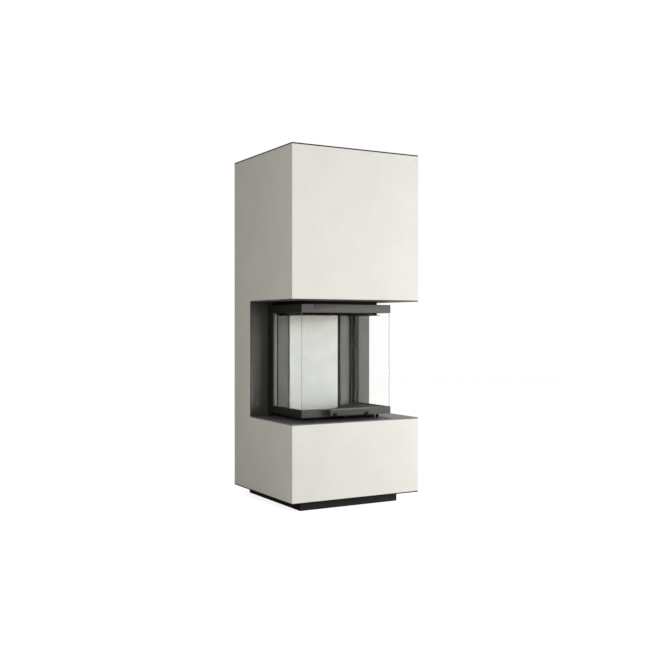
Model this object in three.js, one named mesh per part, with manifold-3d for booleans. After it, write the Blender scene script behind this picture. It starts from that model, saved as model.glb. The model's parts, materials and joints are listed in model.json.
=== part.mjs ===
// Three-sided fireplace. An off-white clad body has a deep recess that is open to the left,
// the front and the right. A glazed fire chamber stands in it, and its U-shaped glass door
// rises straight up into the upper box, balanced by two counterweights on cables.
// Lengths are millimetres. +Z is up, the front faces -Y, and the origin lies on the floor
// under the middle of the body.

import * as THREE from 'three';
import { mergeVertices } from 'three/addons/utils/BufferGeometryUtils.js';
import Module from 'manifold-3d';

const wasm = await Module();
wasm.setup();

// Clearances
const seatGap = 0.3;
const slideGap = 2;
const plateFitGap = 1.5;
const doorSlotClearance = 5;
const cutOverrun = 5;
const weldDistance = 1e-4;

// Body and cladding
const bodyWidth = 720;
const bodyDepth = 663;
const bodyHeight = 1703.8;
const claddingThickness = 30;
const coverPlateThickness = 3;
const rearPanelThickness = 2;
const rearPanelSetback = 3;

// Vent slots in the rear panel
const ventHeight = 12;
const ventPitch = 26;
const ventRows = 3;
const ventSideMargin = 65;
const ventMiddleGap = 230;
const lowerVentHeight = 153.8;
const upperVentDrop = 150;

// Plinth and levelling feet
const plinthHeight = 51.2;
const plinthSideInset = 82;
const plinthFrontInset = 74;
const plinthRearInset = 12;
const plinthWall = 3;
const footInset = 45;
const footPadRadius = 24;
const footPadHeight = 9;
const footStemRadius = 8;
const footNutRadius = 13;
const footNutHeight = 8;

// Recess and its sheet lining
const rearSpaceDepth = 198;
const lowerBodyHeight = 375.8;
const recessHeight = 586;
const liningSheet = 5.7;
const backSheet = 3;

// Frame
const postSize = 40;
const postWall = 3;
const armWidth = 30;
const armHeight = 40;
const armWall = 2.5;

// Door
const doorSideInset = 103;
const doorFrontInset = 98;
const doorRearGap = 31.5;
const doorFloorGap = 16.9;
const doorCeilingGap = 16;
const doorLift = 510;
const barDepth = 22;
const bottomBarHeight = 35.8;
const topBarHeight = 41.1;
const glassThickness = 4;
const glassSetback = 2.5;
const glassSlotDepth = 12;
const glassSlotPlay = 0.5;
const glassTipGap = 1;
const cornerSealGap = 0.8;
const stileDepth = 26;
const stileSlotDepth = 10;
const sealFlangeThickness = 3;
const sealFlangeHeight = 30;
const sealFlangeGap = 2.5;
const keyNotchInset = 74;
const keyNotchWidth = 8;
const keyNotchDepth = 5;
const bufferRadius = 8;
const bufferInset = 74;

// Handle
const handleLength = 234;
const handleHeight = 34;
const handleThickness = 8;
const handleStandOut = 27;
const handleRise = 7.1;
const standoffInset = 27;
const standoffWidth = 20;
const standoffHeight = 15;
const standoffDrop = 4;

// Fire chamber
const baseFrontInset = 191;
const baseWall = 4;
const shellThickness = 4;
const trayBarGap = 3;
const trayFrontGap = 6.5;
const trayThickness = 8;
const trayRimHeight = 28;
const trayRimFlat = 9;
const traySlopeRun = 107;
const airSlotInset = 12;
const airSlotDepth = 10;
const sideLiningRearGap = 30.5;
const sideLiningThickness = 30;
const sideLiningWidth = 58;
const sideLiningGuideGap = 3.3;
const liningGroove = 14;
const backLiningSetback = 6;
const backLiningThickness = 25;
const lintelInset = 50;
const lintelWall = 6;
const lintelDrop = 13.9;
const lintelHeight = 59.7;
const lintelLip = 9;
const lintelLipHeight = 3;
const lintelTabLength = 16;

// Smoke hood, baffles and flue
const hoodWall = 3;
const hoodStraightHeight = 178;
const hoodTaperHeight = 120;
const hoodTopMargin = 20;
const baffleThickness = 25;
const baffleSideGap = 1;
const lowerBaffleOpening = 100;
const upperBaffleOpening = 95;
const upperBaffleRise = 93;
const ledgeWidth = 10;
const ledgeHeight = 3;
const flueRadius = 75;
const flueWall = 3;
const flueFlangeWidth = 16;
const flueFlangeHeight = 5;
const flueRise = 35;
const flueHoleGap = 5;

// Combustion air
const airPipeRadius = 62.5;
const airPipeWall = 2.5;
const airPipeRise = 188.8;
const airPipeFlange = 14;
const sliderSlotHalfWidth = 75;
const sliderSlotHeight = 7;
const sliderSlotRise = 1;
const sliderPlateHalfWidth = 45;
const sliderPlateThickness = 3;
const sliderPlateDrop = 6;
const tongueOffset = 22;
const tongueWidth = 20;
const tongueThickness = 5;
const tongueReach = 26;
const knobLength = 14;
const knobWidth = 26;
const knobHeight = 9;

// Door guides
const guideWidth = 37.7;
const guideDepth = 27;
const guideSlotInset = 4.4;
const guideNoseWidth = 13.2;
const guideNoseLength = 12;
const noseGrooveWidth = 2;
const noseGrooveDepth = 2;
const noseGrooveCount = 2;
const guideTopMargin = 50;

// Carriages
const carriageHeight = 185;
const carriageTopDrop = 12;
const carriageWidth = 6;
const rollerRadius = 10;
const rollerWidth = 12;
const rollerPlay = 0.6;
const rollerEndInset = 22;

// Cables, pulleys and counterweights
const cableRadius = 1.5;
const pulleyRise = 75;
const pulleyPitchRadius = 60;
const pulleyRim = 6;
const pulleyGrooveClearance = 1.2;
const pulleyWidth = 14;
const axleRadius = 6;
const bracketCheek = 4;
const bracketSideGap = 1;
const bracketFoot = 5;
const bracketHeadroom = 20;
const bracketRearReach = 26;
const cableHoleRadius = 4;
const counterweightSize = 64;
const counterweightHeight = 420;
const counterweightHang = 120;
const counterweightEyeRadius = 9;
const counterweightEyeHeight = 14;

// Smoothness of round pieces
const roundSegments = 32;
const smallRoundSegments = 20;
const cableSteps = 48;
const cableSides = 8;

// Levels and planes that follow from the sizes above
const bodyLeft = -bodyWidth / 2;
const bodyRight = bodyWidth / 2;
const bodyFront = -bodyDepth / 2;
const bodyRear = bodyDepth / 2;
const bodyBottom = plinthHeight;
const bodyTop = bodyBottom + bodyHeight;
const claddingBottom = bodyBottom + coverPlateThickness + seatGap;
const claddingTop = bodyTop - coverPlateThickness - seatGap;
const insideHalfWidth = bodyRight - claddingThickness;
const insideFront = bodyFront + claddingThickness;

const recessBack = bodyRear - rearSpaceDepth;
const recessFloor = bodyBottom + lowerBodyHeight;
const recessCeiling = recessFloor + recessHeight;
const lowerCladdingTop = recessFloor - liningSheet - seatGap;
const upperCladdingBottom = recessCeiling + liningSheet + seatGap;
const recessCutRear = recessBack + backSheet + seatGap;

const rearPanelOuter = bodyRear - rearPanelSetback;
const rearPanelInner = rearPanelOuter - rearPanelThickness;

const doorHalfWidth = bodyRight - doorSideInset;
const doorFront = bodyFront + doorFrontInset;
const doorRear = recessBack - doorRearGap;
const doorBottom = recessFloor + doorFloorGap;
const doorTop = recessCeiling - doorCeilingGap;
const bottomBarTop = doorBottom + bottomBarHeight;
const topBarBottom = doorTop - topBarHeight;
const stileFront = doorRear - stileDepth;
const glassBottom = bottomBarTop - glassSlotDepth + glassTipGap;
const glassTop = topBarBottom + glassSlotDepth - glassTipGap;

const guideInner = doorHalfWidth - guideWidth;
const baseHalfWidth = guideInner - seatGap;
const baseFront = bodyFront + baseFrontInset;
const airPipeHeight = bodyBottom + airPipeRise;
const trayHalfWidth = doorHalfWidth - barDepth - trayBarGap;
const trayBottom = doorBottom - slideGap - glassTipGap;
const baseTop = trayBottom - seatGap;
const liningBottom = trayBottom;
const sideLiningOuter = guideInner - sideLiningGuideGap;
const sideLiningInner = sideLiningOuter - sideLiningWidth;
const backLiningHalfWidth = sideLiningInner - liningGroove;
const sideLiningFront = recessBack - sideLiningRearGap;
const sideLiningRear = sideLiningFront + sideLiningThickness;
const backLiningFront = sideLiningFront + backLiningSetback;
const backLiningRear = backLiningFront + backLiningThickness;
const shellFront = Math.max(sideLiningRear, backLiningRear) + seatGap;
const shellRear = shellFront + shellThickness;

const lintelHalfWidth = doorHalfWidth - lintelInset;
const lintelFront = doorFront + lintelInset;
const lintelRear = sideLiningFront - seatGap;
const lintelBottom = topBarBottom - lintelDrop;
const lintelTop = lintelBottom + lintelHeight;
const hoodBottom = lintelTop + seatGap;
const hoodShoulder = hoodBottom + hoodStraightHeight;
const hoodTop = hoodShoulder + hoodTaperHeight;
const hoodTopHalfWidth = flueRadius + hoodTopMargin;
const flueCentre = (lintelFront + shellRear) / 2;

const guideFront = doorRear + slideGap;
const guideRear = guideFront + guideDepth;
const guideSlotDepth = rollerRadius * 2 + slideGap;
const guideSlotOuter = doorHalfWidth - guideSlotInset;
const guideSlotInner = guideSlotOuter - rollerWidth - rollerPlay * 2;
const trackCentre = (guideSlotOuter + guideSlotInner) / 2;
const carriageTop = doorTop - carriageTopDrop;
const carriageBottom = carriageTop - carriageHeight;
const guideTop = carriageTop + doorLift + guideTopMargin;
const cableFront = guideFront + rollerRadius;
const pulleyCentre = cableFront + pulleyPitchRadius;
const cableRear = pulleyCentre + pulleyPitchRadius;
const pulleyHeight = guideTop + pulleyRise;
const counterweightTop = pulleyHeight - counterweightHang;

const sides = [
  ['left', -1],
  ['right', 1],
];

// Materials
function finish(colour, roughness, metalness) {
  return new THREE.MeshStandardMaterial({ color: colour, roughness, metalness });
}

const cladding = finish(0xe9e7e0, 0.85, 0);
const darkSheet = finish(0x3a3b3a, 0.5, 0.6);
const doorSteel = finish(0x5b5b57, 0.45, 0.6);
const blackSteel = finish(0x1c1c1b, 0.6, 0.5);
const zincSheet = finish(0x9b9fa1, 0.45, 0.8);
const castIron = finish(0x303030, 0.7, 0.4);
const whiteStone = finish(0xd6d7d3, 0.9, 0);
const greyStone = finish(0x7a7b76, 0.85, 0);
const baffleBoard = finish(0xb9a98b, 0.95, 0);
const brightSteel = finish(0x8d8f92, 0.3, 0.9);
const rubber = finish(0x111111, 0.9, 0);
const clearGlass = new THREE.MeshStandardMaterial({
  color: 0xeef2f0,
  roughness: 0.05,
  metalness: 0,
  transparent: true,
  opacity: 0.2,
});

// Geometry from limits, outlines and profiles
function slab([xLow, xHigh], [yLow, yHigh], [zLow, zHigh]) {
  const geometry = new THREE.BoxGeometry(xHigh - xLow, yHigh - yLow, zHigh - zLow);
  geometry.translate((xLow + xHigh) / 2, (yLow + yHigh) / 2, (zLow + zHigh) / 2);
  return geometry;
}

// A slab whose X limits are given on the right and mirrored for the left.
function sideSlab(side, [inner, outer], yLimits, zLimits) {
  const xLimits = side > 0 ? [inner, outer] : [-outer, -inner];
  return slab(xLimits, yLimits, zLimits);
}

function shapeOf(outline, holes = []) {
  const toPoints = (loop) => loop.map(([u, v]) => new THREE.Vector2(u, v));
  const shape = new THREE.Shape(toPoints(outline));
  for (const hole of holes) {
    shape.holes.push(new THREE.Path(toPoints(hole)));
  }
  return shape;
}

function extrude(outline, length, holes) {
  const settings = { depth: length, bevelEnabled: false };
  return new THREE.ExtrudeGeometry(shapeOf(outline, holes), settings);
}

// An XY outline raised from zLow to zHigh.
function alongZ(outline, [zLow, zHigh], holes) {
  return extrude(outline, zHigh - zLow, holes).translate(0, 0, zLow);
}

// A YZ outline run from xLow to xHigh.
function alongX(outline, [xLow, xHigh], holes) {
  const turn = new THREE.Matrix4().makeBasis(
    new THREE.Vector3(0, 1, 0),
    new THREE.Vector3(0, 0, 1),
    new THREE.Vector3(1, 0, 0),
  );
  return extrude(outline, xHigh - xLow, holes).applyMatrix4(turn).translate(xLow, 0, 0);
}

// An outline in Z and X run from yLow to yHigh.
function alongY(outline, [yLow, yHigh], holes) {
  const turn = new THREE.Matrix4().makeBasis(
    new THREE.Vector3(0, 0, 1),
    new THREE.Vector3(1, 0, 0),
    new THREE.Vector3(0, 1, 0),
  );
  return extrude(outline, yHigh - yLow, holes).applyMatrix4(turn).translate(0, yLow, 0);
}

function rectangle([uLow, uHigh], [vLow, vHigh]) {
  return [
    [uLow, vLow],
    [uHigh, vLow],
    [uHigh, vHigh],
    [uLow, vHigh],
  ];
}

// A U in plan, open to the rear, between an outer and an inner half width and front.
function uOutline(outerHalf, outerFront, innerHalf, innerFront, rear) {
  return [
    [-outerHalf, rear],
    [-outerHalf, outerFront],
    [outerHalf, outerFront],
    [outerHalf, rear],
    [innerHalf, rear],
    [innerHalf, innerFront],
    [-innerHalf, innerFront],
    [-innerHalf, rear],
  ];
}

// A profile of radius and height turned round the Z axis.
function turned(profile, segments = roundSegments) {
  const points = profile.map(([radius, height]) => new THREE.Vector2(radius, height));
  return new THREE.LatheGeometry(points, segments).rotateX(Math.PI / 2);
}

function rod(radius, [low, high], segments = smallRoundSegments) {
  return turned(
    [
      [0, low],
      [radius, low],
      [radius, high],
      [0, high],
    ],
    segments,
  );
}

// Turns a piece that stands along Z so that it lies along X or Y.
const layAlongX = (geometry) => geometry.rotateY(Math.PI / 2);
const layAlongY = (geometry) => geometry.rotateX(-Math.PI / 2);

// A block whose top rectangle differs from its bottom one.
function taperedBlock(bottom, top, [zLow, zHigh]) {
  const corners = [];
  for (const [limits, z] of [
    [bottom, zLow],
    [top, zHigh],
  ]) {
    for (const [x, y] of rectangle(limits.x, limits.y)) {
      corners.push(x, y, z);
    }
  }
  const faces = [
    [0, 2, 1],
    [0, 3, 2],
    [4, 5, 6],
    [4, 6, 7],
  ];
  for (let corner = 0; corner < 4; corner += 1) {
    const next = (corner + 1) % 4;
    faces.push([corner, next, next + 4]);
    faces.push([corner, next + 4, corner + 4]);
  }
  const geometry = new THREE.BufferGeometry();
  geometry.setAttribute('position', new THREE.Float32BufferAttribute(corners, 3));
  geometry.setIndex(faces.flat());
  return geometry;
}

// Joins and cuts
function toSolid(geometry) {
  const bare = geometry.index ? geometry.toNonIndexed() : geometry.clone();
  bare.deleteAttribute('normal');
  bare.deleteAttribute('uv');
  const merged = mergeVertices(bare, weldDistance);
  return new wasm.Manifold(
    new wasm.Mesh({
      numProp: 3,
      vertProperties: merged.getAttribute('position').array,
      triVerts: new Uint32Array(merged.index.array),
    }),
  );
}

function toGeometry(solid) {
  const mesh = solid.getMesh();
  const geometry = new THREE.BufferGeometry();
  geometry.setAttribute('position', new THREE.BufferAttribute(mesh.vertProperties, 3));
  geometry.setIndex(new THREE.BufferAttribute(mesh.triVerts, 1));
  geometry.computeVertexNormals();
  return geometry;
}

function join(...geometries) {
  return toGeometry(geometries.map(toSolid).reduce((whole, piece) => whole.add(piece)));
}

function cut(geometry, ...tools) {
  return toGeometry(tools.map(toSolid).reduce((rest, tool) => rest.subtract(tool), toSolid(geometry)));
}

function piece(group, name, material, geometry) {
  const mesh = new THREE.Mesh(geometry, material);
  mesh.name = name;
  group.add(mesh);
  return mesh;
}

// Cladding: slabs with mitred front corners
function mitredFrontPanel(zLimits) {
  const outer = bodyRight - seatGap;
  const inner = insideHalfWidth - seatGap;
  return alongZ(
    [
      [-outer, bodyFront],
      [outer, bodyFront],
      [inner, insideFront],
      [-inner, insideFront],
    ],
    zLimits,
  );
}

function mitredSidePanel(side) {
  const outline = [
    [bodyFront, claddingBottom],
    [bodyRear, claddingBottom],
    [bodyRear, claddingTop],
    [bodyFront, claddingTop],
    [bodyFront, upperCladdingBottom],
    [recessCutRear, upperCladdingBottom],
    [recessCutRear, lowerCladdingTop],
    [bodyFront, lowerCladdingTop],
  ];
  const xLimits = side > 0 ? [insideHalfWidth, bodyRight] : [bodyLeft, -insideHalfWidth];
  const mitre = [
    [side * bodyRight, bodyFront],
    [side * insideHalfWidth, insideFront],
    [side * (insideHalfWidth - cutOverrun), insideFront],
    [side * (insideHalfWidth - cutOverrun), bodyFront - cutOverrun],
    [side * bodyRight, bodyFront - cutOverrun],
  ];
  const mitreLimits = [claddingBottom - cutOverrun, claddingTop + cutOverrun];
  return cut(alongX(outline, xLimits), alongZ(mitre, mitreLimits));
}

function ventSlots() {
  const slots = [];
  const lowest = bodyBottom + lowerVentHeight;
  const highest = bodyTop - upperVentDrop;
  const xLimits = [ventMiddleGap / 2, insideHalfWidth - ventSideMargin];
  const yLimits = [rearPanelInner - cutOverrun, rearPanelOuter + cutOverrun];
  for (let row = 0; row < ventRows; row += 1) {
    for (const centre of [lowest + row * ventPitch, highest - row * ventPitch]) {
      const zLimits = [centre - ventHeight / 2, centre + ventHeight / 2];
      for (const [, side] of sides) {
        slots.push(sideSlab(side, xLimits, yLimits, zLimits));
      }
    }
  }
  return slots;
}

function rearPanel() {
  const half = insideHalfWidth - seatGap;
  const sheet = slab([-half, half], [rearPanelInner, rearPanelOuter], [claddingBottom, claddingTop]);
  const holeLimits = [rearPanelInner - cutOverrun, rearPanelOuter + cutOverrun];
  const hole = layAlongY(rod(airPipeRadius + seatGap, holeLimits, roundSegments));
  hole.translate(0, 0, airPipeHeight);
  return cut(sheet, hole, ...ventSlots());
}

function buildCladding() {
  const group = new THREE.Group();
  const bottomLimits = [bodyBottom, bodyBottom + coverPlateThickness];
  const topLimits = [bodyTop - coverPlateThickness, bodyTop];
  const acrossX = [bodyLeft, bodyRight];
  const acrossY = [bodyFront, bodyRear];
  piece(group, 'bottom_plate', darkSheet, slab(acrossX, acrossY, bottomLimits));
  const holeLimits = [bodyTop - coverPlateThickness - cutOverrun, bodyTop + cutOverrun];
  const flueHole = rod(flueRadius + flueHoleGap, holeLimits, roundSegments).translate(0, flueCentre, 0);
  piece(group, 'top_plate', darkSheet, cut(slab(acrossX, acrossY, topLimits), flueHole));
  piece(group, 'lower_front_panel', cladding, mitredFrontPanel([claddingBottom, lowerCladdingTop]));
  piece(group, 'upper_front_panel', cladding, mitredFrontPanel([upperCladdingBottom, claddingTop]));
  for (const [label, side] of sides) {
    piece(group, `${label}_side_panel`, cladding, mitredSidePanel(side));
  }
  piece(group, 'rear_panel', zincSheet, rearPanel());
  return group;
}

// Plinth: a welded sheet ring round four levelling feet
function levellingFoot() {
  const top = plinthHeight - seatGap;
  return turned(
    [
      [0, 0],
      [footPadRadius, 0],
      [footPadRadius, footPadHeight / 2],
      [footStemRadius, footPadHeight],
      [footStemRadius, top - footNutHeight],
      [footNutRadius, top - footNutHeight],
      [footNutRadius, top],
      [0, top],
    ],
    smallRoundSegments,
  );
}

function buildPlinth() {
  const group = new THREE.Group();
  const outerHalf = bodyRight - plinthSideInset;
  const outerY = [bodyFront + plinthFrontInset, bodyRear - plinthRearInset];
  const innerHalf = outerHalf - plinthWall;
  const innerY = [outerY[0] + plinthWall, outerY[1] - plinthWall];
  const ring = alongZ(
    rectangle([-outerHalf, outerHalf], outerY),
    [0, plinthHeight - seatGap],
    [rectangle([-innerHalf, innerHalf], innerY)],
  );
  piece(group, 'plinth_frame', blackSteel, ring);
  for (const [label, side] of sides) {
    const x = side * (innerHalf - footInset);
    const front = piece(group, `levelling_foot_front_${label}`, zincSheet, levellingFoot());
    front.position.set(x, innerY[0] + footInset, 0);
    const rear = piece(group, `levelling_foot_rear_${label}`, zincSheet, levellingFoot());
    rear.position.set(x, innerY[1] - footInset, 0);
  }
  return group;
}

// Sheet lining of the recess
function buildRecessLining() {
  const group = new THREE.Group();
  const plateRear = recessBack - seatGap;
  const floorOutline = uOutline(
    bodyRight,
    bodyFront,
    baseHalfWidth + plateFitGap,
    baseFront - plateFitGap,
    plateRear,
  );
  piece(group, 'recess_floor_plate', darkSheet, alongZ(floorOutline, [recessFloor - liningSheet, recessFloor]));
  const ceilingOutline = uOutline(
    bodyRight,
    bodyFront,
    doorHalfWidth + doorSlotClearance,
    doorFront - doorSlotClearance,
    plateRear,
  );
  const ceilingLimits = [recessCeiling, recessCeiling + liningSheet];
  piece(group, 'recess_ceiling_plate', darkSheet, alongZ(ceilingOutline, ceilingLimits));
  for (const [label, side] of sides) {
    const plate = sideSlab(
      side,
      [doorHalfWidth + seatGap, bodyRight],
      [recessBack, recessBack + backSheet],
      [recessFloor + seatGap, recessCeiling - seatGap],
    );
    piece(group, `recess_back_plate_${label}`, darkSheet, plate);
  }
  return group;
}

// Frame: two rear posts and two arms that carry the upper box
function buildFrame() {
  const group = new THREE.Group();
  const outer = insideHalfWidth - seatGap;
  const postRear = rearPanelInner - seatGap;
  const postFront = postRear - postSize;
  const armBottom = upperCladdingBottom;
  for (const [label, side] of sides) {
    const xPost = [side * (outer - postSize), side * outer].sort((a, b) => a - b);
    const post = alongZ(
      rectangle(xPost, [postFront, postRear]),
      [claddingBottom, claddingTop],
      [
        rectangle(
          [xPost[0] + postWall, xPost[1] - postWall],
          [postFront + postWall, postRear - postWall],
        ),
      ],
    );
    piece(group, `rear_post_${label}`, zincSheet, post);
    const xArm = [side * (outer - armWidth), side * outer].sort((a, b) => a - b);
    const arm = alongY(
      rectangle([armBottom, armBottom + armHeight], xArm),
      [insideFront + seatGap, postFront - seatGap],
      [
        rectangle(
          [armBottom + armWall, armBottom + armHeight - armWall],
          [xArm[0] + armWall, xArm[1] - armWall],
        ),
      ],
    );
    piece(group, `upper_arm_${label}`, zincSheet, arm);
  }
  return group;
}

// Fire chamber
function airSlotLimits(side) {
  const inner = sideLiningInner + airSlotInset;
  const outer = sideLiningOuter - airSlotInset / 2;
  return side > 0 ? [inner, outer] : [-outer, -inner];
}

// Four walls that lead the air in, closed above by a top plate of their own
function fireboxBase() {
  const zLimits = [claddingBottom, baseTop - baseWall - seatGap];
  const yLimits = [baseFront, shellRear + plateFitGap];
  const outside = slab([-baseHalfWidth, baseHalfWidth], yLimits, zLimits);
  const innerHalf = baseHalfWidth - baseWall;
  const hollow = slab(
    [-innerHalf, innerHalf],
    [yLimits[0] + baseWall, yLimits[1] - baseWall],
    [zLimits[0] - cutOverrun, zLimits[1] + cutOverrun],
  );
  const slotLow = recessFloor + sliderSlotRise;
  const sliderSlot = slab(
    [-sliderSlotHalfWidth, sliderSlotHalfWidth],
    [baseFront - cutOverrun, baseFront + baseWall + cutOverrun],
    [slotLow, slotLow + sliderSlotHeight],
  );
  const pipeLimits = [yLimits[1] - baseWall - cutOverrun, yLimits[1] + cutOverrun];
  const pipeHole = layAlongY(rod(airPipeRadius - airPipeWall, pipeLimits, roundSegments));
  pipeHole.translate(0, 0, airPipeHeight);
  return cut(outside, hollow, sliderSlot, pipeHole);
}

function fireboxTop() {
  const plate = slab(
    [-baseHalfWidth, baseHalfWidth],
    [baseFront, shellRear + plateFitGap],
    [baseTop - baseWall, baseTop],
  );
  const airSlots = sides.map(([, side]) =>
    slab(
      airSlotLimits(side),
      [sideLiningFront - airSlotDepth, sideLiningFront],
      [baseTop - baseWall - cutOverrun, baseTop + cutOverrun],
    ),
  );
  return cut(plate, ...airSlots);
}

function hearthTray() {
  const front = doorFront + barDepth + trayFrontGap;
  const sideRear = sideLiningFront - seatGap;
  const reliefFront = guideFront - guideNoseLength - slideGap;
  const trayTop = trayBottom + trayThickness + trayRimHeight;
  const zLimits = [trayBottom, trayTop];
  const block = slab([-trayHalfWidth, trayHalfWidth], [front, sideRear], zLimits);
  const floorHalf = trayHalfWidth - trayRimFlat - traySlopeRun;
  const floorFront = front + trayRimFlat + traySlopeRun;
  const rimHalf = trayHalfWidth - trayRimFlat;
  const rimFront = front + trayRimFlat;
  const behind = sideRear + cutOverrun;
  const bowl = taperedBlock(
    { x: [-floorHalf, floorHalf], y: [floorFront, behind] },
    { x: [-rimHalf, rimHalf], y: [rimFront, behind] },
    [trayBottom + trayThickness, trayTop + seatGap],
  );
  const throughTray = [trayBottom - cutOverrun, trayTop + cutOverrun];
  const reliefs = sides.map(([, side]) =>
    sideSlab(
      side,
      [sideLiningOuter, trayHalfWidth + cutOverrun],
      [reliefFront, behind],
      throughTray,
    ),
  );
  const airSlots = sides.map(([, side]) =>
    slab(airSlotLimits(side), [sideLiningFront - airSlotDepth, behind], throughTray),
  );
  return cut(block, bowl, ...reliefs, ...airSlots);
}

// The black collar behind the door's top bar: a U of plate with a flared lip
function frontLintel() {
  const collar = alongZ(
    uOutline(
      lintelHalfWidth,
      lintelFront,
      lintelHalfWidth - lintelWall,
      lintelFront + lintelWall,
      lintelRear,
    ),
    [lintelBottom, lintelTop],
  );
  const lip = alongZ(
    uOutline(
      lintelHalfWidth + lintelLip,
      lintelFront - lintelLip,
      lintelHalfWidth - lintelWall / 2,
      lintelFront + lintelWall / 2,
      lintelRear - lintelTabLength,
    ),
    [lintelBottom, lintelBottom + lintelLipHeight],
  );
  const tabs = sides.map(([, side]) =>
    sideSlab(
      side,
      [lintelHalfWidth - lintelWall / 2, guideInner - seatGap],
      [lintelRear - lintelTabLength, lintelRear],
      [lintelTop - lintelHeight / 2, lintelTop],
    ),
  );
  return join(collar, lip, ...tabs);
}

function smokeHood() {
  const limits = (inset) => ({
    x: [-lintelHalfWidth + inset, lintelHalfWidth - inset],
    y: [lintelFront + inset, shellRear - inset],
  });
  const topLimits = (inset) => ({
    x: [-hoodTopHalfWidth + inset, hoodTopHalfWidth - inset],
    y: [flueCentre - hoodTopHalfWidth + inset, flueCentre + hoodTopHalfWidth - inset],
  });
  const outer = limits(0);
  const inner = limits(hoodWall);
  const outside = join(
    slab(outer.x, outer.y, [hoodBottom, hoodShoulder]),
    taperedBlock(outer, topLimits(0), [hoodShoulder, hoodTop]),
  );
  const inside = join(
    slab(inner.x, inner.y, [hoodBottom - cutOverrun, hoodShoulder]),
    taperedBlock(inner, topLimits(hoodWall), [hoodShoulder, hoodTop - hoodWall]),
  );
  const fluePassage = rod(flueRadius - flueWall, [hoodTop - cutOverrun, hoodTop + cutOverrun], roundSegments);
  fluePassage.translate(0, flueCentre, 0);
  const ledgeTop = hoodBottom + upperBaffleRise;
  const ledges = sides.map(([, side]) =>
    sideSlab(
      side,
      [lintelHalfWidth - hoodWall - ledgeWidth, lintelHalfWidth - hoodWall / 2],
      [inner.y[0], inner.y[1] - upperBaffleOpening],
      [ledgeTop - ledgeHeight, ledgeTop],
    ),
  );
  return join(cut(outside, inside, fluePassage), ...ledges);
}

function fluePipe() {
  const low = hoodTop + seatGap;
  const high = bodyTop + flueRise;
  const bore = flueRadius - flueWall;
  return turned([
    [bore, low],
    [flueRadius + flueFlangeWidth, low],
    [flueRadius + flueFlangeWidth, low + flueFlangeHeight],
    [flueRadius, low + flueFlangeHeight],
    [flueRadius, high],
    [bore, high],
    [bore, low],
  ]);
}

function airInletPipe() {
  const low = shellRear + plateFitGap + seatGap;
  const bore = airPipeRadius - airPipeWall;
  const flangeLow = rearPanelOuter + seatGap;
  return layAlongY(
    turned([
      [bore, low],
      [airPipeRadius, low],
      [airPipeRadius, flangeLow],
      [airPipeRadius + airPipeFlange, flangeLow],
      [airPipeRadius + airPipeFlange, bodyRear],
      [bore, bodyRear],
      [bore, low],
    ]),
  ).translate(0, 0, airPipeHeight);
}

function guideColumn(side) {
  const noseFront = guideFront - guideNoseLength;
  const noseOuter = guideInner + guideNoseWidth;
  const outline = [[guideInner, noseFront]];
  const groovePitch = guideNoseWidth / (noseGrooveCount + 1);
  for (let groove = 1; groove <= noseGrooveCount; groove += 1) {
    const middle = guideInner + groove * groovePitch;
    outline.push([middle - noseGrooveWidth / 2, noseFront]);
    outline.push([middle - noseGrooveWidth / 2, noseFront + noseGrooveDepth]);
    outline.push([middle + noseGrooveWidth / 2, noseFront + noseGrooveDepth]);
    outline.push([middle + noseGrooveWidth / 2, noseFront]);
  }
  outline.push(
    [noseOuter, noseFront],
    [noseOuter, guideFront],
    [guideSlotInner, guideFront],
    [guideSlotInner, guideFront + guideSlotDepth],
    [guideSlotOuter, guideFront + guideSlotDepth],
    [guideSlotOuter, guideFront],
    [doorHalfWidth, guideFront],
    [doorHalfWidth, guideRear],
    [guideInner, guideRear],
  );
  const mirrored = outline.map(([x, y]) => [side * x, y]);
  return alongZ(mirrored, [recessFloor + seatGap, guideTop]);
}

function buildFireChamber() {
  const group = new THREE.Group();
  piece(group, 'firebox_base', blackSteel, fireboxBase());
  piece(group, 'firebox_top', blackSteel, fireboxTop());
  piece(group, 'hearth_tray', castIron, hearthTray());
  const liningLimits = [liningBottom, lintelTop];
  piece(
    group,
    'back_lining',
    whiteStone,
    slab([-backLiningHalfWidth, backLiningHalfWidth], [backLiningFront, backLiningRear], liningLimits),
  );
  for (const [label, side] of sides) {
    const lining = sideSlab(
      side,
      [sideLiningInner, sideLiningOuter],
      [sideLiningFront, sideLiningRear],
      liningLimits,
    );
    piece(group, `side_lining_${label}`, greyStone, lining);
    piece(group, `door_guide_${label}`, blackSteel, guideColumn(side));
  }
  const shellX = [-baseHalfWidth, baseHalfWidth];
  piece(group, 'back_shell', blackSteel, slab(shellX, [shellFront, shellRear], liningLimits));
  piece(group, 'front_lintel', blackSteel, frontLintel());
  piece(group, 'smoke_hood', blackSteel, smokeHood());
  const baffleHalf = lintelHalfWidth - hoodWall - baffleSideGap;
  const baffleX = [-baffleHalf, baffleHalf];
  const hoodInnerFront = lintelFront + hoodWall;
  const hoodInnerRear = shellRear - hoodWall;
  piece(
    group,
    'lower_baffle',
    baffleBoard,
    slab(
      baffleX,
      [hoodInnerFront + lowerBaffleOpening, hoodInnerRear - baffleSideGap],
      [hoodBottom, hoodBottom + baffleThickness],
    ),
  );
  const upperLow = hoodBottom + upperBaffleRise + seatGap;
  piece(
    group,
    'upper_baffle',
    baffleBoard,
    slab(
      baffleX,
      [hoodInnerFront + baffleSideGap, hoodInnerRear - upperBaffleOpening],
      [upperLow, upperLow + baffleThickness],
    ),
  );
  piece(group, 'flue_pipe', blackSteel, fluePipe()).position.set(0, flueCentre, 0);
  piece(group, 'air_inlet_pipe', zincSheet, airInletPipe());
  return group;
}

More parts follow.
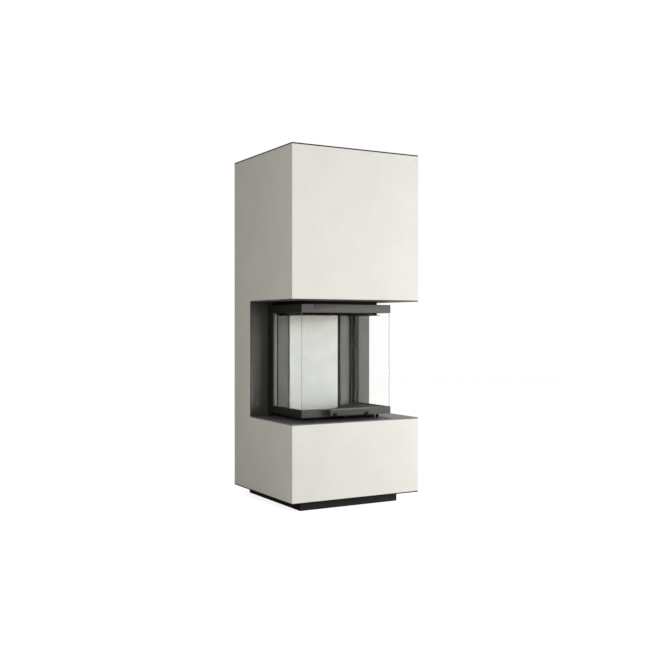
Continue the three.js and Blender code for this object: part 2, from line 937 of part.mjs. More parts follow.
// Air slider: a plate behind the base's front wall, with a tongue under the door
function airSlider() {
  const plateFront = baseFront + baseWall + seatGap;
  const plateRear = plateFront + sliderPlateThickness;
  const low = recessFloor + sliderSlotRise + seatGap;
  const tongueX = [tongueOffset - tongueWidth / 2, tongueOffset + tongueWidth / 2];
  const tip = baseFront - tongueReach;
  return join(
    slab(
      [tongueOffset - sliderPlateHalfWidth, tongueOffset + sliderPlateHalfWidth],
      [plateFront, plateRear],
      [low - sliderPlateDrop, baseTop - baseWall - seatGap],
    ),
    slab(tongueX, [tip, plateRear - seatGap], [low, low + tongueThickness]),
    slab(
      [tongueOffset - knobWidth / 2, tongueOffset + knobWidth / 2],
      [tip - knobLength, tip + seatGap],
      [low - seatGap, low - seatGap + knobHeight],
    ),
  );
}

// Door: U-shaped bars above and below three panes
function barOutline(outset, inset, rear) {
  return uOutline(
    doorHalfWidth - outset,
    doorFront + outset,
    doorHalfWidth - inset,
    doorFront + inset,
    rear,
  );
}

function glassSlot(zLimits) {
  const outset = glassSetback - glassSlotPlay;
  const inset = glassSetback + glassThickness + glassSlotPlay;
  return alongZ(barOutline(outset, inset, stileFront + stileSlotDepth), zLimits);
}

function bottomBar() {
  const bar = alongZ(barOutline(0, barDepth, doorRear), [doorBottom, bottomBarTop]);
  return cut(bar, glassSlot([bottomBarTop - glassSlotDepth, bottomBarTop + cutOverrun]));
}

function topBar() {
  const bar = alongZ(barOutline(0, barDepth, doorRear), [topBarBottom, doorTop]);
  const flangeLow = topBarBottom + sealFlangeHeight;
  const flange = alongZ(
    uOutline(
      doorHalfWidth - barDepth / 2,
      doorFront + barDepth / 2,
      lintelHalfWidth + sealFlangeGap,
      lintelFront - sealFlangeGap,
      lintelRear - lintelTabLength - slideGap,
    ),
    [flangeLow, flangeLow + sealFlangeThickness],
  );
  const keyNotchX = doorHalfWidth - keyNotchInset;
  const notches = sides.map(([, side]) =>
    slab(
      [side * keyNotchX - keyNotchWidth / 2, side * keyNotchX + keyNotchWidth / 2],
      [doorFront - cutOverrun, doorFront + barDepth + cutOverrun],
      [doorTop - keyNotchDepth, doorTop + cutOverrun],
    ),
  );
  const slot = glassSlot([topBarBottom - cutOverrun, topBarBottom + glassSlotDepth]);
  return cut(join(bar, flange), slot, ...notches);
}

function stile(side) {
  const slotOuter = doorHalfWidth - glassSetback + glassSlotPlay;
  const slotInner = slotOuter - glassThickness - glassSlotPlay * 2;
  const inner = doorHalfWidth - barDepth;
  const outline = [
    [inner, stileFront],
    [slotInner, stileFront],
    [slotInner, stileFront + stileSlotDepth],
    [slotOuter, stileFront + stileSlotDepth],
    [slotOuter, stileFront],
    [doorHalfWidth, stileFront],
    [doorHalfWidth, doorRear],
    [inner, doorRear],
  ];
  const mirrored = outline.map(([x, y]) => [side * x, y]);
  return alongZ(mirrored, [bottomBarTop + seatGap, topBarBottom - seatGap]);
}

// Carriage: a flat bar on the stile's back with two rollers that run in the guide
function carriage(side) {
  const middle = side * trackCentre;
  const barLimits = [middle - carriageWidth / 2, middle + carriageWidth / 2];
  const bar = slab(barLimits, [doorRear + seatGap, cableFront + cableRadius * 2], [carriageBottom, carriageTop]);
  const rollers = [carriageBottom + rollerEndInset, carriageTop - rollerEndInset].map((height) => {
    const roller = layAlongX(rod(rollerRadius, [-rollerWidth / 2, rollerWidth / 2]));
    return roller.translate(middle, cableFront, height);
  });
  return join(bar, ...rollers);
}

function buildDoor() {
  const group = new THREE.Group();
  piece(group, 'door_bottom_bar', doorSteel, bottomBar());
  piece(group, 'door_top_bar', doorSteel, topBar());
  const glassHalf = doorHalfWidth - glassSetback;
  const glassFront = doorFront + glassSetback;
  const glassZ = [glassBottom, glassTop];
  piece(
    group,
    'front_glass',
    clearGlass,
    slab([-glassHalf, glassHalf], [glassFront, glassFront + glassThickness], glassZ),
  );
  for (const [label, side] of sides) {
    const pane = sideSlab(
      side,
      [glassHalf - glassThickness, glassHalf],
      [glassFront + glassThickness + cornerSealGap, stileFront + stileSlotDepth - glassTipGap],
      glassZ,
    );
    piece(group, `${label}_glass`, clearGlass, pane);
    piece(group, `rear_stile_${label}`, doorSteel, stile(side));
    piece(group, `carriage_${label}`, brightSteel, carriage(side));
    const buffer = rod(bufferRadius, [recessFloor + seatGap, doorBottom - seatGap]);
    piece(group, `door_buffer_${label}`, rubber, buffer).position.set(
      side * (doorHalfWidth - bufferInset),
      doorFront + barDepth / 2,
      0,
    );
  }
  return group;
}

function buildHandle() {
  const group = new THREE.Group();
  const handleRear = doorFront - handleStandOut;
  const low = doorBottom + handleRise;
  const bar = slab(
    [-handleLength / 2, handleLength / 2],
    [handleRear - handleThickness, handleRear],
    [low, low + handleHeight],
  );
  piece(group, 'handle_bar', doorSteel, bar);
  const standoffMiddle = handleLength / 2 - standoffInset;
  for (const [label, side] of sides) {
    const standoff = sideSlab(
      side,
      [standoffMiddle - standoffWidth / 2, standoffMiddle + standoffWidth / 2],
      [handleRear + seatGap, doorFront - seatGap],
      [low - standoffDrop, low - standoffDrop + standoffHeight],
    );
    piece(group, `handle_standoff_${label}`, blackSteel, standoff);
  }
  return group;
}

// Lift gear: on each side a cable runs from the carriage over a pulley to a counterweight
function pulley() {
  const half = pulleyWidth / 2;
  const groove = pulleyPitchRadius - cableRadius - pulleyGrooveClearance;
  const rim = pulleyPitchRadius + pulleyRim;
  const bore = axleRadius + seatGap;
  return layAlongX(
    turned([
      [bore, -half],
      [rim, -half],
      [groove, -cableRadius],
      [groove, cableRadius],
      [rim, half],
      [bore, half],
      [bore, -half],
    ]),
  );
}

function pulleyBracket(side) {
  const cheekInner = pulleyWidth / 2 + bracketSideGap;
  const cheekOuter = cheekInner + bracketCheek;
  const yLimits = [guideFront, pulleyCentre + bracketRearReach];
  const low = guideTop + seatGap;
  const high = pulleyHeight + bracketHeadroom;
  const middle = side * trackCentre;
  const cheeks = sides.map(([, cheekSide]) =>
    sideSlab(cheekSide, [cheekInner, cheekOuter], yLimits, [low, high]).translate(middle, 0, 0),
  );
  const footX = [middle - cheekInner - seatGap, middle + cheekInner + seatGap];
  const foot = slab(footX, [guideFront, guideRear], [low, low + bracketFoot]);
  const cableHole = rod(cableHoleRadius, [low - cutOverrun, low + bracketFoot + cutOverrun]);
  cableHole.translate(middle, cableFront, 0);
  const axleHole = layAlongX(rod(axleRadius + seatGap, [-cheekOuter - cutOverrun, cheekOuter + cutOverrun]));
  axleHole.translate(middle, pulleyCentre, pulleyHeight);
  return cut(join(foot, ...cheeks), cableHole, axleHole);
}

function counterweight() {
  const half = counterweightSize / 2;
  const eyeLow = counterweightTop - counterweightEyeHeight;
  const eye = rod(counterweightEyeRadius, [eyeLow - seatGap, counterweightTop]);
  return join(slab([-half, half], [-half, half], [eyeLow - counterweightHeight, eyeLow]), eye);
}

// The cable's centre line, up from the carriage, over the pulley and down to the weight.
class CableRoute extends THREE.Curve {
  constructor(x) {
    super();
    this.x = x;
    this.riseLow = carriageTop + seatGap;
    this.rise = pulleyHeight - this.riseLow;
    this.over = Math.PI * pulleyPitchRadius;
    this.fallLow = counterweightTop + seatGap;
    this.fall = pulleyHeight - this.fallLow;
  }

  getPoint(share, target = new THREE.Vector3()) {
    const along = share * (this.rise + this.over + this.fall);
    if (along < this.rise) {
      return target.set(this.x, cableFront, this.riseLow + along);
    }
    if (along > this.rise + this.over) {
      return target.set(this.x, cableRear, pulleyHeight - (along - this.rise - this.over));
    }
    const turn = (along - this.rise) / pulleyPitchRadius;
    const y = pulleyCentre - pulleyPitchRadius * Math.cos(turn);
    const z = pulleyHeight + pulleyPitchRadius * Math.sin(turn);
    return target.set(this.x, y, z);
  }
}

function liftCable(x) {
  const section = new THREE.Shape();
  for (let corner = 0; corner < cableSides; corner += 1) {
    const angle = (corner / cableSides) * Math.PI * 2;
    const u = cableRadius * Math.cos(angle);
    const v = cableRadius * Math.sin(angle);
    if (corner === 0) {
      section.moveTo(u, v);
    } else {
      section.lineTo(u, v);
    }
  }
  section.closePath();
  const settings = { steps: cableSteps, extrudePath: new CableRoute(x), bevelEnabled: false };
  return new THREE.ExtrudeGeometry(section, settings);
}

function buildLiftGear() {
  const group = new THREE.Group();
  for (const [label, side] of sides) {
    const x = side * trackCentre;
    piece(group, `pulley_${label}`, brightSteel, pulley()).position.set(x, pulleyCentre, pulleyHeight);
    const axleHalf = pulleyWidth / 2 + bracketSideGap + bracketCheek;
    const axle = layAlongX(rod(axleRadius, [-axleHalf, axleHalf]));
    piece(group, `pulley_axle_${label}`, brightSteel, axle).position.set(x, pulleyCentre, pulleyHeight);
    piece(group, `pulley_bracket_${label}`, zincSheet, pulleyBracket(side));
    piece(group, `counterweight_${label}`, castIron, counterweight()).position.set(x, cableRear, 0);
    piece(group, `lift_cable_${label}`, brightSteel, liftCable(x));
  }
  return group;
}

const fireplace = new THREE.Group();
fireplace.add(buildCladding());
fireplace.add(buildPlinth());
fireplace.add(buildRecessLining());
fireplace.add(buildFrame());
fireplace.add(buildFireChamber());
fireplace.add(buildDoor());
fireplace.add(buildHandle());
fireplace.add(buildLiftGear());
piece(fireplace, 'air_slider', blackSteel, airSlider());

export default fireplace;
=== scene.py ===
"""Looks of a three-sided wood fireplace, dressed over its fixed frame.

The body is clad in off-white mineral board. A recess lined with dark sheet is open to the
left, the front and the right, and a glazed fire chamber stands in it. The U-shaped glass
door rises into the upper box on two cables. Lengths are metres, +Z is up and the front
faces -Y.
"""

from __future__ import annotations

import json
import logging
import math
from dataclasses import dataclass, field, replace
from enum import Enum
from typing import Any, Callable, Iterable, Sequence

import bmesh
import bpy
from mathutils import Matrix, Vector

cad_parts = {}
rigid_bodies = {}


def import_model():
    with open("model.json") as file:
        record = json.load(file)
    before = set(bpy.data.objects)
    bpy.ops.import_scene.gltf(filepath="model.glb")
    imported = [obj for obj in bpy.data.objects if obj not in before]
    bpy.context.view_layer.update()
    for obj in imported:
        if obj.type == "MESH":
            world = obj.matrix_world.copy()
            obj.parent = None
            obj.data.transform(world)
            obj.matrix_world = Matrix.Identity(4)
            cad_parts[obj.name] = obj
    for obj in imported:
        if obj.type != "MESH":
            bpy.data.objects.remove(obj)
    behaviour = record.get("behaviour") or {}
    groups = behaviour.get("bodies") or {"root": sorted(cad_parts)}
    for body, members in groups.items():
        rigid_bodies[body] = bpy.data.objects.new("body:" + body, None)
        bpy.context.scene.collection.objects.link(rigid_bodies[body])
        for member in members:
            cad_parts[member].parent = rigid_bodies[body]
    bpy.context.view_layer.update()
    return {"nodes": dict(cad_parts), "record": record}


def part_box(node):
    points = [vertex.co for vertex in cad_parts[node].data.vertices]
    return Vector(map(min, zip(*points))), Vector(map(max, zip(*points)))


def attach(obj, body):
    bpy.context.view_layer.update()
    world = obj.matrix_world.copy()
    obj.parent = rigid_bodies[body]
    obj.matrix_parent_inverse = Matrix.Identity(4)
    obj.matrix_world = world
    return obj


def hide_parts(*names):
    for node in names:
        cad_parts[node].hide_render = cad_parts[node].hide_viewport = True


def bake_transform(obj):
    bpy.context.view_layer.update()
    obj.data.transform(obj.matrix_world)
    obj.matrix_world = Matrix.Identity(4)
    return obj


LOG = logging.getLogger("fireplace")
MM = 0.001

Point = tuple[float, float, float]
Colour = tuple[float, float, float]
Corner = tuple[float, float]
Steps = tuple[Corner, ...]
WHITE = (1.0, 1.0, 1.0, 1.0)

# Face layer that marks the eased edges of a piece
EDGE_LAYER = "eased_edge"

# Sockets of the colour Mix node
MIX_SHARE, MIX_FIRST, MIX_SECOND, MIX_RESULT = 0, 6, 7, 2


class Part(Enum):
    """The bodies that new pieces ride on. An eased copy takes its body from the record."""

    ROOT = "root"
    DOOR = "door"
    WEIGHT_LEFT = "counterweight_left"
    WEIGHT_RIGHT = "counterweight_right"
    PULLEY_LEFT = "pulley_left"
    PULLEY_RIGHT = "pulley_right"


class Side(Enum):
    """Left and right, with the sign that each has along X."""

    LEFT = -1
    RIGHT = 1

    @property
    def label(self) -> str:
        """The word used in piece names."""
        return self.name.lower()

    @property
    def weight(self) -> Part:
        """The counterweight's body on this side."""
        return Part.WEIGHT_LEFT if self is Side.LEFT else Part.WEIGHT_RIGHT

    @property
    def pulley(self) -> Part:
        """The pulley's body on this side."""
        return Part.PULLEY_LEFT if self is Side.LEFT else Part.PULLEY_RIGHT


class Grain(Enum):
    """The fine surface that a finish shows from close by."""

    BOARD = "board"
    POWDER = "powder"
    BRUSHED = "brushed"
    CAST = "cast"
    SPANGLE = "spangle"


# ---------------------------------------------------------------- node trees


class NodeDesk:
    """Adds, sets and links the nodes of one tree."""

    COLUMN_STEP = 190
    ROW_STEP = 120
    ROWS = 3

    def __init__(self, tree: bpy.types.NodeTree) -> None:
        """Starts on a tree.

        Args:
            tree: The shader or geometry node tree to fill.
        """
        self.tree = tree
        self.column = 0

    def add(
        self, kind: str, values: dict[Any, Any] | None = None, **settings: Any
    ) -> bpy.types.Node:
        """Adds a node.

        Args:
            kind: The node's type identifier.
            values: Input defaults or source sockets, by input name or index.
            **settings: Attributes of the node itself.

        Returns:
            The new node.
        """
        node = self.tree.nodes.new(kind)
        row = self.column % self.ROWS
        node.location = (self.column * self.COLUMN_STEP, -row * self.ROW_STEP)
        self.column += 1
        for name, value in settings.items():
            setattr(node, name, value)
        for key, value in (values or {}).items():
            if isinstance(value, bpy.types.NodeSocket):
                self.tree.links.new(value, node.inputs[key])
            else:
                node.inputs[key].default_value = value
        return node

    def link(self, source: bpy.types.NodeSocket, target: bpy.types.NodeSocket) -> None:
        """Links an output to an input."""
        self.tree.links.new(source, target)

    def group(self, effect: bpy.types.NodeTree, **values: Any) -> bpy.types.NodeSocket:
        """Adds a shared effect.

        Args:
            effect: The effect's group.
            **values: Its inputs, as values or sockets.

        Returns:
            Its single output socket.
        """
        return self.add("ShaderNodeGroup", values, node_tree=effect).outputs[0]

    def surface(
        self, shader: bpy.types.NodeSocket, output: str = "ShaderNodeOutputMaterial"
    ) -> None:
        """Ends the tree in its output node."""
        self.add(output, {"Surface": shader})

    def noise(
        self, place: bpy.types.NodeSocket, scale: Any, detail: float
    ) -> bpy.types.NodeSocket:
        """Adds a noise texture.

        Args:
            place: The coordinates.
            scale: Patches to the metre, as a value or a socket.
            detail: How many finer layers lie over it.

        Returns:
            The value's socket.
        """
        values = {"Vector": place, "Scale": scale, "Detail": detail}
        return self.add("ShaderNodeTexNoise", values).outputs[0]

    def math(
        self, operation: str, a: Any, b: Any = 0.0, clamp: bool = False
    ) -> bpy.types.NodeSocket:
        """Adds a Math node.

        Args:
            operation: The operation's identifier.
            a: First value or socket.
            b: Second value or socket.
            clamp: Whether the result is kept from 0 to 1.

        Returns:
            The result socket.
        """
        node = self.add("ShaderNodeMath", {0: a, 1: b}, operation=operation, use_clamp=clamp)
        return node.outputs[0]

    def ramp(self, value: bpy.types.NodeSocket, low: Any, high: Any) -> bpy.types.NodeSocket:
        """Maps a value to 0..1 with soft ends.

        Args:
            value: The value's socket.
            low: What becomes 0, as a value or a socket.
            high: What becomes 1, as a value or a socket.

        Returns:
            The result socket.
        """
        node = self.add(
            "ShaderNodeMapRange",
            {"Value": value, "From Min": low, "From Max": high},
            interpolation_type="SMOOTHSTEP",
        )
        return node.outputs["Result"]

    def mix(self, share: Any, a: Any, b: Any) -> bpy.types.NodeSocket:
        """Mixes two colours.

        Args:
            share: How much of the second colour shows.
            a: First colour or socket.
            b: Second colour or socket.

        Returns:
            The mixed colour's socket.
        """
        values = {MIX_SHARE: share}
        for socket, colour in ((MIX_FIRST, a), (MIX_SECOND, b)):
            linked = isinstance(colour, bpy.types.NodeSocket)
            values[socket] = colour if linked else (*colour, 1.0)
        return self.add("ShaderNodeMix", values, data_type="RGBA").outputs[MIX_RESULT]


def open_material(
    name: str, colour: Colour, cover: float = 1.0
) -> tuple[bpy.types.Material, NodeDesk]:
    """Starts a node material.

    Args:
        name: The material's name.
        colour: Its colour in plain views.
        cover: How solid it looks there.

    Returns:
        The material and the desk of its empty tree.
    """
    material = bpy.data.materials.new(name)
    material.use_nodes = True
    material.diffuse_color = (*colour, cover)
    material.node_tree.nodes.clear()
    return material, NodeDesk(material.node_tree)


class ShaderGroups:
    """Shared surface effects, each a node group that is built once."""

    FINE_RATIO = 6.3
    FINE_SHARE = 0.35
    MOTTLE_GAIN = 4.0
    BRUSH_STRETCH = (0.02, 0.02, 1.0)
    GRAIN_DETAIL = {Grain.BOARD: 4.0, Grain.CAST: 5.0}
    TROWEL_RATIO = 0.12
    TROWEL_RELIEF = 1.4
    FADE_SCALE = 7.0
    DUST_SCALE = 24.0
    DUST_SLOPE = (0.6, 1.0)
    DUST_PATCHES = (0.3, 0.75)
    WEAR_SCALE = 60.0
    WEAR_SPREAD = 0.8
    WEAR_FLOOR = 0.3

    def __init__(self) -> None:
        """Starts with no groups built."""
        self.built: dict[str, bpy.types.NodeTree] = {}

    def _start(
        self, name: str, inputs: Sequence[tuple[str, str, float]], output: str
    ) -> tuple[NodeDesk, bpy.types.Node, bpy.types.Node]:
        """Opens a new group.

        Args:
            name: The group's name.
            inputs: Name, socket type and default of each input.
            output: Name of its single value output.

        Returns:
            The desk, the group's input node and its output node.
        """
        tree = bpy.data.node_groups.new(name, "ShaderNodeTree")
        for label, kind, default in inputs:
            socket = tree.interface.new_socket(label, in_out="INPUT", socket_type=kind)
            if kind == "NodeSocketFloat":
                socket.default_value = default
        tree.interface.new_socket(output, in_out="OUTPUT", socket_type="NodeSocketFloat")
        self.built[name] = tree
        desk = NodeDesk(tree)
        return desk, desk.add("NodeGroupInput"), desk.add("NodeGroupOutput")

    def mottle(self) -> bpy.types.NodeTree:
        """Soft cloudy patches over finer ones.

        Returns:
            The group, with inputs Vector, Size and Contrast and output Mask.
        """
        if "cloudy_mottle" in self.built:
            return self.built["cloudy_mottle"]
        inputs = [
            ("Vector", "NodeSocketVector", 0),
            ("Size", "NodeSocketFloat", 0.1),
            ("Contrast", "NodeSocketFloat", 0.5),
        ]
        desk, given, out = self._start("cloudy_mottle", inputs, "Mask")
        scale = desk.math("DIVIDE", 1.0, given.outputs["Size"])
        place = given.outputs["Vector"]
        wide = desk.noise(place, scale, 3.0)
        fine = desk.noise(place, desk.math("MULTIPLY", scale, self.FINE_RATIO), 2.0)
        fine_part = desk.math("MULTIPLY", fine, self.FINE_SHARE)
        both = desk.math("ADD", desk.math("MULTIPLY", wide, 1.0 - self.FINE_SHARE), fine_part)
        centred = desk.math("SUBTRACT", both, 0.5)
        gain = desk.math("MULTIPLY", given.outputs["Contrast"], self.MOTTLE_GAIN)
        spread = desk.math("MULTIPLY", centred, gain)
        desk.link(desk.math("ADD", spread, 0.5, clamp=True), out.inputs["Mask"])
        return desk.tree

    def grain(self, kind: Grain) -> bpy.types.NodeTree:
        """Fine relief of one kind.

        Args:
            kind: Which surface it is.

        Returns:
            The group, with inputs Vector and Size and output Height.
        """
        name = f"grain_{kind.value}"
        if name in self.built:
            return self.built[name]
        inputs = [("Vector", "NodeSocketVector", 0), ("Size", "NodeSocketFloat", 0.001)]
        desk, given, out = self._start(name, inputs, "Height")
        scale = desk.math("DIVIDE", 1.0, given.outputs["Size"])
        place = given.outputs["Vector"]
        if kind is Grain.SPANGLE:
            cells = desk.add("ShaderNodeTexVoronoi", {"Vector": place, "Scale": scale})
            desk.link(cells.outputs["Distance"], out.inputs["Height"])
            return desk.tree
        if kind is Grain.BRUSHED:
            values = {0: place, 1: self.BRUSH_STRETCH}
            place = desk.add("ShaderNodeVectorMath", values, operation="MULTIPLY").outputs[0]
        height = desk.noise(place, scale, self.GRAIN_DETAIL.get(kind, 1.0))
        if kind is Grain.BOARD:
            trowel = desk.noise(place, desk.math("MULTIPLY", scale, self.TROWEL_RATIO), 2.0)
            marks = desk.math("MULTIPLY", trowel, self.TROWEL_RELIEF)
            height = desk.math("ADD", height, marks)
        desk.link(height, out.inputs["Height"])
        return desk.tree

    def fade(self) -> bpy.types.NodeTree:
        """A vertical fade between two heights with an uneven front.

        Returns:
            The group, with inputs Vector, Low, High and Unevenness and output Mask.
        """
        if "height_fade" in self.built:
            return self.built["height_fade"]
        inputs = [
            ("Vector", "NodeSocketVector", 0),
            ("Low", "NodeSocketFloat", 0.0),
            ("High", "NodeSocketFloat", 1.0),
            ("Unevenness", "NodeSocketFloat", 0.05),
        ]
        desk, given, out = self._start("height_fade", inputs, "Mask")
        split = desk.add("ShaderNodeSeparateXYZ", {0: given.outputs["Vector"]})
        noise = desk.noise(given.outputs["Vector"], self.FADE_SCALE, 2.0)
        centred = desk.math("SUBTRACT", noise, 0.5)
        shift = desk.math("MULTIPLY", centred, given.outputs["Unevenness"])
        height = desk.math("ADD", split.outputs["Z"], shift)
        mask = desk.ramp(height, given.outputs["Low"], given.outputs["High"])
        desk.link(mask, out.inputs["Mask"])
        return desk.tree

    def dust(self) -> bpy.types.NodeTree:
        """Dust that settles on faces turned upwards.

        Returns:
            The group, with inputs Vector and Amount and output Mask.
        """
        if "settled_dust" in self.built:
            return self.built["settled_dust"]
        inputs = [("Vector", "NodeSocketVector", 0), ("Amount", "NodeSocketFloat", 0.3)]
        desk, given, out = self._start("settled_dust", inputs, "Mask")
        normal = desk.add("ShaderNodeNewGeometry").outputs["Normal"]
        split = desk.add("ShaderNodeSeparateXYZ", {0: normal})
        upward = desk.ramp(split.outputs["Z"], *self.DUST_SLOPE)
        noise = desk.noise(given.outputs["Vector"], self.DUST_SCALE, 4.0)
        patches = desk.ramp(noise, *self.DUST_PATCHES)
        amount = desk.math("MULTIPLY", patches, given.outputs["Amount"])
        desk.link(desk.math("MULTIPLY", upward, amount), out.inputs["Mask"])
        return desk.tree

    def wear(self) -> bpy.types.NodeTree:
        """Lighter or darker rubbed edges, read from the eased edges of a piece.

        Returns:
            The group, with inputs Vector and Amount and output Mask.
        """
        if "rubbed_edge" in self.built:
            return self.built["rubbed_edge"]
        inputs = [("Vector", "NodeSocketVector", 0), ("Amount", "NodeSocketFloat", 0.5)]
        desk, given, out = self._start("rubbed_edge", inputs, "Mask")
        edge = desk.add("ShaderNodeAttribute", attribute_name=EDGE_LAYER).outputs["Fac"]
        noise = desk.noise(given.outputs["Vector"], self.WEAR_SCALE, 3.0)
        spread = desk.math("MULTIPLY", noise, self.WEAR_SPREAD)
        broken = desk.math("ADD", spread, self.WEAR_FLOOR)
        amount = desk.math("MULTIPLY", broken, given.outputs["Amount"])
        desk.link(desk.math("MULTIPLY", edge, amount, clamp=True), out.inputs["Mask"])
        return desk.tree


# ------------------------------------------------------------------ finishes


@dataclass(frozen=True)
class Finish:
    """One surface finish and how it is made of the shared effects."""

    name: str
    base: Colour
    shade: Colour
    roughness: float
    grain: Grain
    grain_size: float = 0.0012
    grain_depth: float = 0.00002
    mottle_size: float = 0.12
    mottle_contrast: float = 0.5
    roughness_spread: float = 0.06
    metallic: float = 0.0
    specular: float = 0.5
    edge: Colour | None = None
    edge_amount: float = 0.5
    dust: float = 0.0
    dust_colour: Colour = (0.32, 0.3, 0.27)
    tint: Colour | None = None
    tint_from: float = 0.0
    tint_to: float = 1.0
    tint_unevenness: float = 0.06
    slot: str = ""

    def build(self, groups: ShaderGroups) -> bpy.types.Material:
        """Builds the material.

        Args:
            groups: The shared effects.

        Returns:
            The finished material.
        """
        material, desk = open_material(self.name, self.base)
        place = desk.add("ShaderNodeTexCoord").outputs["Object"]
        mottle = desk.group(
            groups.mottle(), Vector=place, Size=self.mottle_size, Contrast=self.mottle_contrast
        )
        colour = desk.mix(mottle, self.base, self.shade)
        # A colour faded in with height; on the white lining it is partly heat discolouring and
        # partly painted shade.
        if self.tint is not None:
            fade = desk.group(
                groups.fade(),
                Vector=place,
                Low=self.tint_from,
                High=self.tint_to,
                Unevenness=self.tint_unevenness,
            )
            colour = desk.mix(fade, colour, self.tint)
        if self.edge is not None:
            wear = desk.group(groups.wear(), Vector=place, Amount=self.edge_amount)
            colour = desk.mix(wear, colour, self.edge)
        if self.dust > 0:
            dust = desk.group(groups.dust(), Vector=place, Amount=self.dust)
            colour = desk.mix(dust, colour, self.dust_colour)
        grain = desk.group(groups.grain(self.grain), Vector=place, Size=self.grain_size)
        bump = desk.add(
            "ShaderNodeBump", {"Strength": 1.0, "Distance": self.grain_depth, "Height": grain}
        )
        spread = desk.math("MULTIPLY", mottle, self.roughness_spread)
        rough = desk.math("ADD", spread, self.roughness - self.roughness_spread / 2, clamp=True)
        shader = desk.add(
            "ShaderNodeBsdfPrincipled",
            {
                "Base Color": colour,
                "Roughness": rough,
                "Metallic": self.metallic,
                "Specular IOR Level": self.specular,
                "Normal": bump.outputs["Normal"],
            },
        )
        desk.surface(shader.outputs[0])
        return material


@dataclass(frozen=True)
class PaneFinish:
    """Clear fire glass that lets the studio light through."""

    name: str
    colour: Colour = (0.985, 0.992, 0.988)
    shadow: Colour = (0.925, 0.935, 0.93)
    ior: float = 1.06
    cover: float = 0.2

    def build(self) -> bpy.types.Material:
        """Builds the material.

        Returns:
            The finished material.
        """
        material, desk = open_material(self.name, self.colour, self.cover)
        shader = desk.add(
            "ShaderNodeBsdfPrincipled",
            {
                "Base Color": (*self.colour, 1.0),
                "Roughness": 0.0,
                "IOR": self.ior,
                "Transmission Weight": 1.0,
            },
        )
        clear = desk.add("ShaderNodeBsdfTransparent", {"Color": (*self.shadow, 1.0)})
        shaded = desk.add("ShaderNodeLightPath").outputs["Is Shadow Ray"]
        either = desk.add(
            "ShaderNodeMixShader", {0: shaded, 1: shader.outputs[0], 2: clear.outputs[0]}
        )
        desk.surface(either.outputs[0])
        return material


@dataclass(frozen=True)
class GroundEdgeFinish:
    """The ground rim of a pane, a translucent grey green."""

    name: str
    colour: Colour = (0.3, 0.36, 0.34)
    roughness: float = 0.35
    cover: float = 0.3

    def build(self) -> bpy.types.Material:
        """Builds the material.

        Returns:
            The finished material.
        """
        material, desk = open_material(self.name, self.colour, self.cover)
        values = {
            "Base Color": (*self.colour, 1.0),
            "Roughness": self.roughness,
            "Alpha": self.cover,
        }
        desk.surface(desk.add("ShaderNodeBsdfPrincipled", values).outputs[0])
        return material


AnyFinish = Finish | PaneFinish | GroundEdgeFinish

CLADDING = Finish(
    "cladding_board",
    base=(0.8, 0.792, 0.762),
    shade=(0.725, 0.716, 0.684),
    roughness=0.82,
    grain=Grain.BOARD,
    grain_size=0.0016,
    grain_depth=0.00006,
    mottle_size=0.16,
    mottle_contrast=0.42,
    specular=0.25,
    edge=(0.86, 0.85, 0.82),
    edge_amount=0.35,
    slot="cladding",
)
DARK_SHEET = Finish(
    "recess_sheet",
    base=(0.064, 0.063, 0.059),
    shade=(0.052, 0.052, 0.049),
    roughness=0.5,
    grain=Grain.POWDER,
    grain_size=0.0009,
    grain_depth=0.000012,
    mottle_size=0.09,
    specular=0.14,
    edge=(0.12, 0.118, 0.11),
    edge_amount=0.5,
    slot="dark_sheet",
)
# A glossier copy of the recess sheet for the floor plate, also made lighter: the gloss is its
# own, the lighter tone is painted light.
FLOOR_SHEET_PAINTED_LIGHT = replace(
    DARK_SHEET,
    name="recess_floor_sheet",
    base=(0.07, 0.069, 0.065),
    shade=(0.056, 0.056, 0.053),
    specular=0.5,
    roughness=0.42,
)
# A lighter copy of the recess sheet for the right back plate: painted light.
PAINTED_LIGHT_SHEET = replace(
    DARK_SHEET,
    name="recess_sheet_right",
    base=(0.112, 0.111, 0.105),
    shade=(0.094, 0.094, 0.088),
    specular=0.3,
)
# Near-black cover plates and their rims; on the rims the black also stands in for the shadow
# joint under the plates, painted shade.
COVER_SHEET_AND_SHADE = replace(
    DARK_SHEET,
    name="cover_sheet",
    base=(0.012, 0.012, 0.011),
    shade=(0.009, 0.009, 0.008),
    specular=0.02,
    edge=(0.02, 0.02, 0.019),
)
DOOR_STEEL = Finish(
    "door_steel",
    base=(0.066, 0.065, 0.06),
    shade=(0.055, 0.054, 0.05),
    roughness=0.4,
    grain=Grain.POWDER,
    grain_size=0.0008,
    grain_depth=0.00001,
    mottle_size=0.05,
    specular=0.22,
    edge=(0.12, 0.116, 0.105),
    edge_amount=0.6,
    slot="door_steel",
)
# Door steel made darker on the faces turned left or right: painted shade on the flanks of the
# bars and of the left stile.
DOOR_FLANK_PAINTED_SHADE = replace(
    DOOR_STEEL,
    name="door_flank_steel",
    base=(0.02, 0.0195, 0.018),
    shade=(0.016, 0.0155, 0.0145),
    roughness=0.6,
    specular=0.06,
    edge_amount=0.3,
)
# Door steel made lighter for the top bar: painted light.
TOP_BAR_PAINTED_LIGHT = replace(
    DOOR_STEEL,
    name="top_bar_steel",
    base=(0.083, 0.082, 0.076),
    shade=(0.07, 0.069, 0.064),
)
# The handle is door steel in a shaded and a lit copy: its front face made darker, painted shade,
# and its leaning lip facets made lighter, a painted highlight.
HANDLE_PAINTED_SHADE = replace(
    DOOR_STEEL,
    name="handle_steel",
    base=(0.035, 0.0345, 0.0325),
    shade=(0.029, 0.0285, 0.027),
)
HANDLE_PAINTED_HIGHLIGHT = replace(
    DOOR_STEEL,
    name="handle_lip_steel",
    base=(0.115, 0.112, 0.104),
    shade=(0.1, 0.098, 0.09),
)
